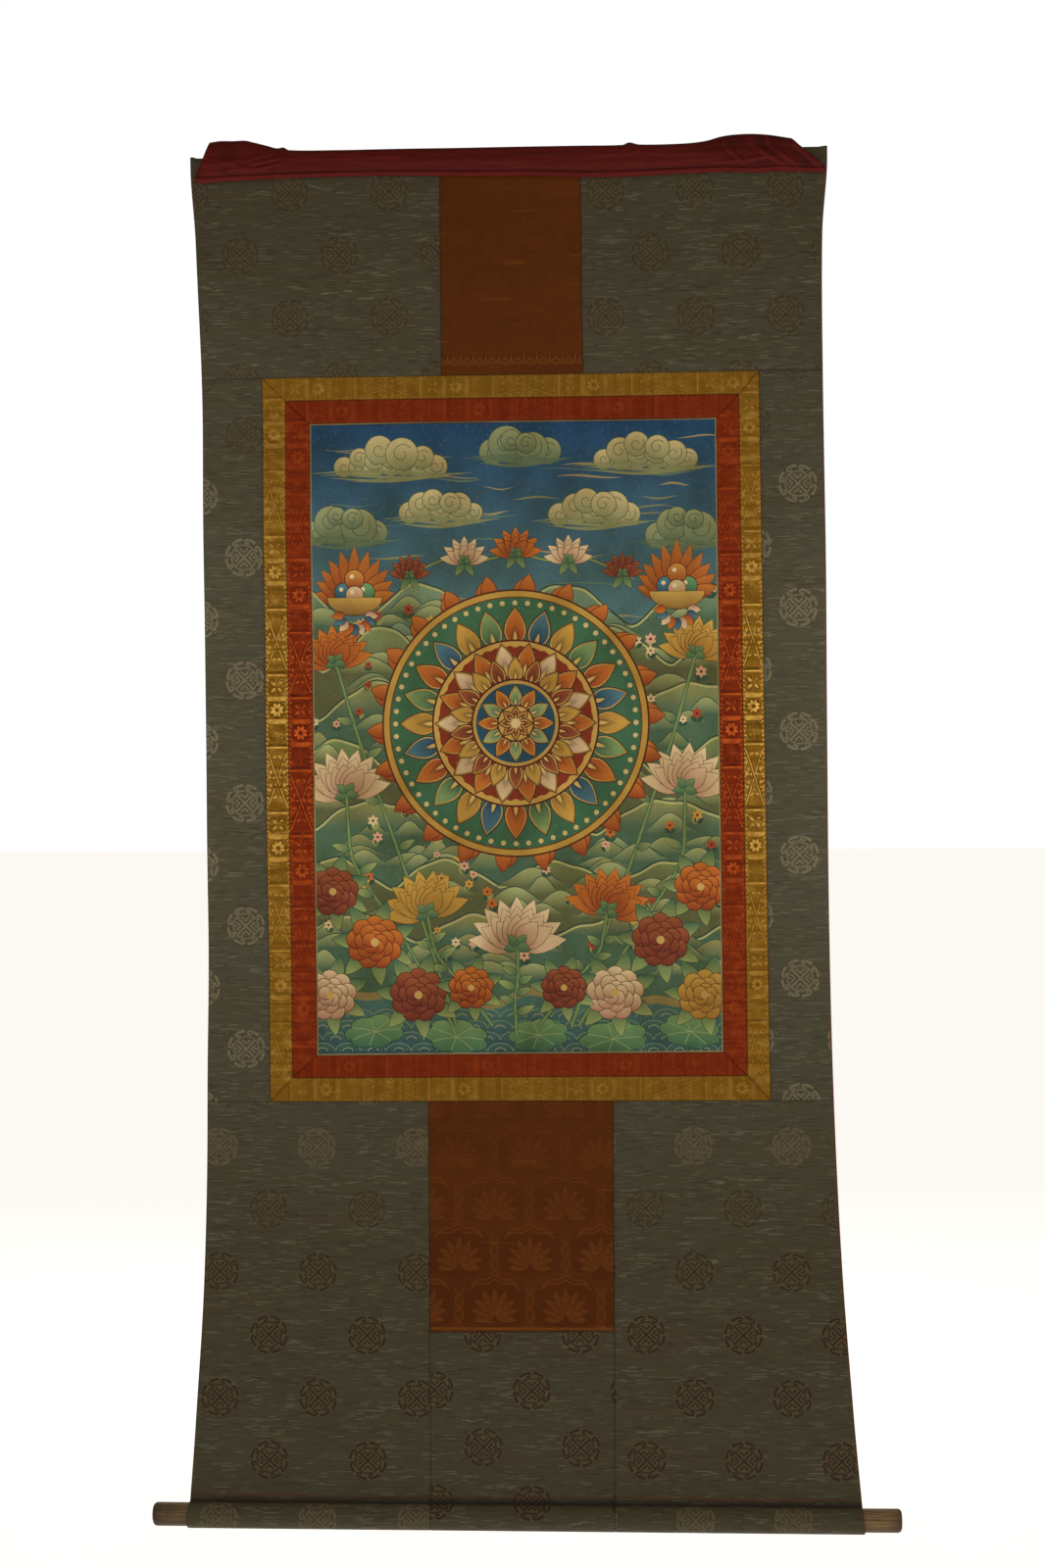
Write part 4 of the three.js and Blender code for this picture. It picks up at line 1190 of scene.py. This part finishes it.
def damask_trellis(outline, strength):
    """Lotus flowers in dark fields, half dropped, with a light chain and stepped bars between them."""
    low, high = outline.min(axis=0) - 40, outline.max(axis=0) + 40
    field = np.vstack([LOTUS_FIELD, (LOTUS_FIELD * (-1, 1))[-2:0:-1]])
    found = []
    for row in range(-22, 23):
        w = LOTUS_ORIGIN[1] + row * LOTUS_ROW
        for step in range(-4, 5):
            x = LOTUS_ORIGIN[0] + (step + 0.5 * (row % 2)) * LOTUS_PITCH
            if not (low[0] < x < high[0] and low[1] < w < high[1]):
                continue
            value = strength(x, w)
            found.append((field + (x, w + 4), -value))
            for lean in (-1, 1):
                t = np.linspace(-1, 1, 17)
                chain = np.c_[x + LOTUS_PITCH / 2 + lean * 4.6 * np.sin(1.5 * math.pi * t), w + 22 * t]
                found.append((ribbon(chain, 2.0), value * 0.8))
            for bar, reach in ((26.5, 20.0), (31.0, 17.0)):
                line = [(-reach - 8, bar - 6), (-reach, bar), (-8, bar), (0, bar + 5),
                        (8, bar), (reach, bar), (reach + 8, bar - 6)]
                found.append((ribbon(np.array(line) + (x, w), 1.7), value))
            found += fan_flower(x, w - 9, 46, 31, value)
    return found


# Satin damask: figure and ground differ only in how the satin turns the light. Loose wefts lie across
# it as thin bright streaks, drawn thicker than they are.
damask, tree, shader, places = cloth_material("satin_damask", 0.55, 0.06, 0.02, "#8a5a30")
figure = node(tree, "ShaderNodeAttribute", attribute_name="figure").outputs["Fac"]
drift = noise(tree, places, 140, 40, 2, 0.36, 0.64, 3)
streak = dashes(tree, places, 40, 1.2, 1.13, 1.22, 7.0)
rib = noise(tree, places, 60, 1.3, 1, 0.3, 0.7, 19)
colour = blend(tree, drift, "#4a2203", "#502604")
colour = blend(tree, times(tree, rib, 0.25), colour, "#421d03")
sunk = ranged(tree, figure, 0.0, -1.0)
colour = blend(tree, sunk, colour, "#321502")
colour = blend(tree, figure, colour, "#774517")
colour = blend(tree, times(tree, streak, 0.3), colour, "#8a5520")
height = sums(tree, "ADD", sums(tree, "ADD", streak, times(tree, rib, 0.5)), figure)
finish_cloth(tree, shader, colour, height, 0.3, 0.0004)

# Reverse of the damask: loose floats, duller than the face.
damask_back, tree, shader, places = cloth_material("damask_reverse", 0.75, 0.15, 0.0, "#8a5a30")
floats = noise(tree, places, 20, 1.6, 3, 0.35, 0.68, 6)
finish_cloth(tree, shader, blend(tree, floats, "#42200a", "#5c3516"), floats, 0.45, 0.0007)
damask_materials = (damask, damask_back, damask_back)


def subdued(x, w):
    """How far the damask's pattern shows above the picture."""
    return 0.045


def catching_light(x, w):
    """How far it shows below the picture, more towards the foot."""
    return 0.08 + 0.16 * float(soft_step(-w, 1080, 1250))


upper_panel = panel(upper_left_line, upper_right_line)
row_of_flowers = []
for i in range(11):
    row_of_flowers += fan_flower(-66 + 14 * i, -233, 14, 14, 0.4, 5)
mount_piece("upper_centre_panel", "orange_damask", damask_materials, upper_panel,
            damask_trellis(upper_panel, subdued) + row_of_flowers, [])
lower_panel = panel(*(sewn_edge((x, lower_seam(x)), (x, foot))
                      for x, foot in zip(LOWER_PANEL_SIDES, LOWER_PANEL_FOOT)))
foot_hem = ribbon(np.c_[np.linspace(-90, 110, 34), np.full(34, LOWER_PANEL_FOOT[0] + 4.2)], 3.0)
mount_piece("lower_centre_panel", "orange_damask", damask_materials, lower_panel,
            damask_trellis(lower_panel, catching_light) + [(foot_hem, 0.4)], ["gold_border_bottom"])

# Rod. A turned hardwood rod, oiled brown, weights the foot of the scroll and rolls it up. Its ends stick
# out of the sleeve, and hands have worn them dark.
ROD_RADIUS = 13.0
ROD_LEFT_END = -399.0
ROD_RIGHT_END = 423.0
ROD_ROUNDING = 5.0
ROD_SIDES = 64
rod_half = (ROD_RIGHT_END - ROD_LEFT_END) / 2
turn = np.linspace(0, math.pi / 2, 9)
left_end = np.c_[ROD_ROUNDING * (1 - np.cos(turn)), ROD_RADIUS - ROD_ROUNDING + ROD_ROUNDING * np.sin(turn)]
left_end = np.vstack([[(0, 2.5), (0, 5.5)], left_end])
between = np.arange(8, 2 * rod_half - 7, 6)
body = np.c_[between, np.full(len(between), ROD_RADIUS)]
profile = np.vstack([left_end, body, np.c_[2 * rod_half - left_end[:, 0], left_end[:, 1]][::-1]])
angles = np.arange(ROD_SIDES) * 2 * math.pi / ROD_SIDES
along, reach = np.repeat(profile, ROD_SIDES, axis=0).T
round_at = np.tile(angles, len(profile))
wear_and_seam_shade = 0.16 * np.sin(3 * round_at + along / 60) * np.sin(along / 37 + 1) - 0.1
reach = reach + wear_and_seam_shade * (reach > 6)
rod_points = np.c_[ROD_LEFT_END + along, reach * np.cos(round_at), ROD_AXIS_Z + reach * np.sin(round_at)]
count = len(rod_points)
rod_points = np.vstack([rod_points, [(ROD_LEFT_END, 0, ROD_AXIS_Z), (ROD_RIGHT_END, 0, ROD_AXIS_Z)]])
rod_faces = []
for ring_index in range(len(profile) - 1):
    for side in range(ROD_SIDES):
        a, b = ring_index * ROD_SIDES + side, ring_index * ROD_SIDES + (side + 1) % ROD_SIDES
        rod_faces.append((a, b, b + ROD_SIDES, a + ROD_SIDES))
for side in range(ROD_SIDES):
    after = (side + 1) % ROD_SIDES
    rod_faces.append((after, side, count))
    rod_faces.append((count - ROD_SIDES + side, count - ROD_SIDES + after, count + 1))
rod_mesh = bpy.data.meshes.new("rod_wood")
rod_mesh.from_pydata((rod_points * MM).tolist(), [], rod_faces)
rod_mesh.shade_smooth()
rod_mesh.set_sharp_from_angle(angle=math.radians(50))

# Oiled hardwood: brown with long dark pores and paler streaks along the rod, darker at the handled ends.
wood = bpy.data.materials.new("oiled_hardwood")
wood.use_nodes = True
tree = wood.node_tree
shader = tree.nodes["Principled BSDF"]
shader.inputs["Roughness"].default_value = 0.5
shader.inputs["Specular IOR Level"].default_value = 0.22
spot = node(tree, "ShaderNodeTexCoord").outputs["Object"]
places = node(tree, "ShaderNodeMapping", {"Vector": spot, "Scale": (1000, 1000, 1000)}).outputs[0]


def wood_noise(along, across, detail, low, high):
    """Marks in the wood that are so many mm along and across the rod, from 0 to 1."""
    spread = node(tree, "ShaderNodeMapping", {
        "Vector": places, "Scale": (1 / along, 1 / across, 1 / across)})
    grain = node(tree, "ShaderNodeTexNoise", {"Vector": spread.outputs[0], "Scale": 1.0, "Detail": detail})
    return ranged(tree, grain.outputs[0], low, high)


grain = wood_noise(70, 2.6, 4, 0.34, 0.66)
pores = wood_noise(26, 0.9, 2, 0.58, 0.7)
grime = wood_noise(18, 14, 3, 0.4, 0.64)
colour = blend(tree, grain, "#46351f", "#735a3a")
colour = blend(tree, times(tree, pores, 0.6), colour, "#2c2015")
x_place = node(tree, "ShaderNodeSeparateXYZ", {0: places}).outputs[0]
from_middle = sums(tree, "SUBTRACT", x_place, (ROD_LEFT_END + ROD_RIGHT_END) / 2)
from_middle = sums(tree, "ABSOLUTE", from_middle, 0.0)
handled = ranged(tree, from_middle, rod_half - 16, rod_half - 2)
dirt = sums(tree, "MAXIMUM", handled, times(tree, grime, 0.4))
colour = blend(tree, times(tree, dirt, 0.7), colour, "#2a1f14")
# The rod is darker towards its left end and paler towards its right
paler_to_right = node(tree, "ShaderNodeMapRange", {0: x_place, 1: -390.0, 2: 400.0, 3: 0.8, 4: 1.3}).outputs[0]
colour = blend(tree, 1.0, colour, paler_to_right, "MULTIPLY")
# Painted light: the rod is paler on top and darker underneath
z_place = node(tree, "ShaderNodeSeparateXYZ", {0: places}).outputs[2]
wear_and_painted_light = node(tree, "ShaderNodeMapRange", {
    0: z_place, 1: ROD_AXIS_Z - 10, 2: ROD_AXIS_Z + 7, 3: 0.6, 4: 1.25}).outputs[0]
colour = blend(tree, 1.0, colour, wear_and_painted_light, "MULTIPLY")
tree.links.new(colour, shader.inputs["Base Color"])
raised = node(tree, "ShaderNodeBump", {
    "Height": sums(tree, "SUBTRACT", grain, pores), "Strength": 0.35, "Distance": 0.0005})
tree.links.new(raised.outputs[0], shader.inputs["Normal"])
rod_mesh.materials.append(wood)
rod_wood = bpy.data.objects.new("rod_wood", rod_mesh)
bpy.context.collection.objects.link(rod_wood)
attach(rod_wood, "root")
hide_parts("rod")

# Silk cover. A length of thin dark red silk that covers the picture when it is let down. It is gathered
# up in long folds, laid over the top edge, and tacked there, with its ends drawn up in wrinkles.
SILK_ENDS = ((-34, -346, 347.5), (-25, -343, 346), (-10, -337.2, 330), (2, -332.5, 316), (15, -327.5, 304))
SILK_SECTIONS = (
    (-338, 15, -30.5, 0.6), (-327, 16.4, -31, 1.6), (-311, 16.2, -30.4, 2.2), (-297, 16.4, -29.6, 1.8),
    (-288, 14.6, -29.2, 1.6), (-270, 10.4, -28.6, 2.2), (-257, 7.2, -28, 1.4), (-250, 8.2, -27.8, 2.4),
    (-243, 5, -27.6, 1.2), (-185, 4, -26.6, 0.8), (-120, 4.2, -26.8, 1.3), (-50, 4, -28.6, 0.9),
    (20, 4.1, -29.6, 1.4), (85, 4, -32.4, 1), (137, 4, -32, 1.6), (146, 6.6, -31.6, 2.2),
    (156, 4, -31, 1.2), (205, 4.2, -29.4, 1), (232, 6.5, -29.2, 2.6), (256, 11.5, -30.4, 1.6),
    (282, 13.5, -29.6, 3.4), (306, 12.5, -30.6, 2), (331, 8, -31.6, 0.5),
)
SILK_HALF = 0.25
SILK_PITCH = 1.6
SILK_BACK_Y = 3.15
SILK_BACK_DROP = -46.0
SILK_TUCK_TOP = -8.0
SILK_TUCK_RISE = 4.0
SILK_CREST_START = -1.5
SILK_COLUMNS = 340
# Folds of the outer layer: ends as (x, share of the drop), height, and half width as a share of the drop
SILK_FOLDS = (
    ((-346, 0.34), (-100, 0.30), 0.6, 0.09), ((-200, 0.55), (60, 0.50), 0.5, 0.1),
    ((-20, 0.66), (250, 0.60), 0.5, 0.09), ((60, 0.30), (300, 0.36), 0.6, 0.1),
    ((-282, 0.30), (-256, 0.12), 1.5, 0.05), ((-284, 0.50), (-250, 0.34), 1.6, 0.05),
    ((-276, 0.72), (-246, 0.48), 1.5, 0.05), ((-340, 0.42), (-292, 0.36), 0.9, 0.08),
    ((-330, 0.20), (-286, 0.62), 1.0, 0.07), ((-312, 0.70), (-262, 0.62), 1.1, 0.06),
    ((-254, 0.02), (-248, 0.50), 1.8, 0.12), ((262, 0.02), (304, 0.84), 1.7, 0.07),
    ((280, 0.02), (318, 0.80), 1.6, 0.06), ((309, 0.0), (344, 0.88), 2.0, 0.1),
    ((236, 0.10), (262, 0.80), 1.2, 0.08), ((222, 0.70), (300, 0.56), 1.2, 0.06),
    ((140, 0.04), (150, 0.36), 1.2, 0.1),
)
across_share = np.linspace(0, 1, SILK_COLUMNS)
section_x = SILK_SECTIONS[0][0] + across_share * (SILK_SECTIONS[-1][0] - SILK_SECTIONS[0][0])
crest, foot, swell = through(SILK_SECTIONS, section_x).T


def silk_run(count):
    """Even steps from 0 to 1 along a stretch of the silk, without its start."""
    return np.linspace(0, 1, count + 1)[1:, None]


def layer_y(layer):
    """Depth of a layer of the silk in front of the cloth, counted from the innermost."""
    return -SILK_BACK_Y - layer * SILK_PITCH


def silk_turn(layer, z, way):
    """Depth and height of the turn from one layer into the next, up or down."""
    turn = math.pi * silk_run(6)
    y = layer_y(layer - 0.5) - SILK_PITCH / 2 * np.cos(turn) + 0 * z
    return y, z + way * SILK_PITCH / 2 * np.sin(turn)


low = foot + 0.5 + SILK_PITCH / 2
tuck_low = low + SILK_TUCK_RISE
tuck_top = np.full(SILK_COLUMNS, SILK_TUCK_TOP)
drop = np.linspace(0, 1, 15)[:, None]
arch = silk_run(16)
outer = silk_run(40)
rows = [
    (SILK_BACK_Y + 0 * low + 0 * drop,
     SILK_BACK_DROP + (SILK_CREST_START - SILK_BACK_DROP) * drop + 0 * low),
    (SILK_BACK_Y + (layer_y(3) - SILK_BACK_Y) * (1 - np.cos(math.pi * arch)) / 2 + 0 * low,
     SILK_CREST_START + (crest - 0.5 - SILK_CREST_START) * np.sin(math.pi * arch)),
    (layer_y(3) - swell * np.sin(math.pi * outer), SILK_CREST_START + (low - SILK_CREST_START) * outer),
    silk_turn(3, low, -1),
    (layer_y(2) + 0 * silk_run(6) + 0 * low, low + (tuck_top - low) * silk_run(6)),
    silk_turn(2, tuck_top, 1),
    (layer_y(1) + 0 * silk_run(6) + 0 * low, tuck_top + (tuck_low - tuck_top) * silk_run(6)),
    silk_turn(1, tuck_low, -1),
    (layer_y(0) + 0 * silk_run(6) + 0 * low, tuck_low + (tuck_top - tuck_low) * silk_run(6)),
]
silk_y = np.vstack([y for y, _ in rows])
silk_z = np.vstack([z for _, z in rows])
silk_left, silk_right = (x.reshape(silk_z.shape) for x in through(SILK_ENDS, silk_z.ravel()).T)
silk_x = silk_left * (1 - across_share) + silk_right * across_share
first_outer = len(drop) + len(arch) // 2
last_outer = len(drop) + len(arch) + len(outer)
share = np.zeros((len(silk_y), 1))
share[first_outer:last_outer, 0] = np.linspace(0, 1, last_outer - first_outer)
on_face = np.zeros((len(silk_y), 1))
on_face[first_outer:last_outer] = np.sin(math.pi * share[first_outer:last_outer]) ** 0.5
folds = np.zeros(silk_y.shape)
for (x0, share0), (x1, share1), height, width in SILK_FOLDS:
    t = (silk_x - x0) / (x1 - x0)
    middle = share0 + (share1 - share0) * t + 0.03 * np.sin(silk_x / 19 + x0)
    ends_soft = soft_step(t, -0.02, 0.18) * (1 - soft_step(t, 0.82, 1.02))
    folds += height * ends_soft * np.exp(-((share - middle) / width) ** 2)
gather = 0.35 * np.sin(silk_x / 5.2 + 2 * np.sin(silk_x / 31)) * soft_step(np.abs(silk_x), 200, 330)
hem_roll = 1.3 * np.exp(-((share - 0.93) / 0.05) ** 2) - 1.2 * np.exp(-((share - 0.84) / 0.035) ** 2)
pressed = folds + gather + hem_roll
silk_y = silk_y - on_face * np.clip(pressed + 1.2, 0, 4.2)
# Painted shade: the hollows between the folds are darkened, and so is the right end, which is bunched up in
# its own shade
in_shade = 0.4 * soft_step(silk_x, 170, 265)
hollow = np.clip((0.35 - pressed) / 1.2 + in_shade, 0, 1) * (on_face > 0)

way_y, way_z = np.gradient(silk_y, axis=0), np.gradient(silk_z, axis=0)
size = np.hypot(way_y, way_z)
layers = []
for half in (SILK_HALF, -SILK_HALF):
    layer = np.stack([silk_x, silk_y + half * way_z / size, silk_z - half * way_y / size], axis=-1)
    layers.append(layer.reshape(-1, 3))
silk_rows = len(silk_y)
face_count = silk_rows * SILK_COLUMNS
index = np.arange(face_count).reshape(silk_rows, SILK_COLUMNS)
quads = np.stack([index[:-1, :-1], index[1:, :-1], index[1:, 1:], index[:-1, 1:]], axis=-1).reshape(-1, 4)
border_run = np.r_[index[:-1, 0], index[-1, :-1], index[:0:-1, -1], index[0, :0:-1]]
following = np.roll(border_run, -1)
rim = np.c_[following, border_run, border_run + face_count, following + face_count]
silk_faces = quads.tolist() + (quads[:, ::-1] + face_count).tolist() + rim.tolist()
silk_mesh = bpy.data.meshes.new("silk_cover_cloth")
silk_mesh.from_pydata((np.vstack(layers) * MM).tolist(), [], silk_faces)
run_down = np.vstack([np.zeros(SILK_COLUMNS), np.cumsum(size[1:], axis=0)])
silk_flat = np.stack([silk_x, -run_down], axis=-1).reshape(-1, 2)
corners = np.r_[quads.ravel(), quads[:, ::-1].ravel(), rim.ravel() % face_count]
silk_mesh.uv_layers.new(name="cloth").uv.foreach_set("vector", (silk_flat[corners] * MM).ravel())
silk_mesh.shade_smooth()

shaded = silk_mesh.attributes.new("hollow", "FLOAT", "POINT")
shaded.data.foreach_set("value", np.tile(hollow.ravel(), 2))

# Thin silk satin: dark red, brighter where a fold turns to the light, nearly black in the hollows with
# painted shade, and fine crumpling along the folds.
silk, tree, shader, places = cloth_material("dark_red_silk", 0.5, 0.08, 0.03, "#a04a40")
streaks = noise(tree, places, 90, 4.0, 2, 0.3, 0.7, 4)
crumple = noise(tree, places, 16, 5.0, 3, 0.36, 0.64, 12)
thread = noise(tree, places, 3, 1.8, 2, 0.3, 0.7, 15)
shade = node(tree, "ShaderNodeAttribute", attribute_name="hollow").outputs["Fac"]
colour = blend(tree, streaks, "#4c0f0a", "#57130e")
colour = blend(tree, times(tree, crumple, 0.2), colour, "#3a0a07")
colour = blend(tree, times(tree, shade, 0.7), colour, "#280503")
tree.links.new(colour, shader.inputs["Base Color"])
height = sums(tree, "ADD", crumple, times(tree, thread, 0.2))
raised = node(tree, "ShaderNodeBump", {"Height": height, "Strength": 0.3, "Distance": 0.001})
tree.links.new(raised.outputs[0], shader.inputs["Normal"])
silk_mesh.materials.append(silk)
silk_cover_cloth = bpy.data.objects.new("silk_cover_cloth", silk_mesh)
bpy.context.collection.objects.link(silk_cover_cloth)
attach(silk_cover_cloth, "root")
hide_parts("silk_cover")
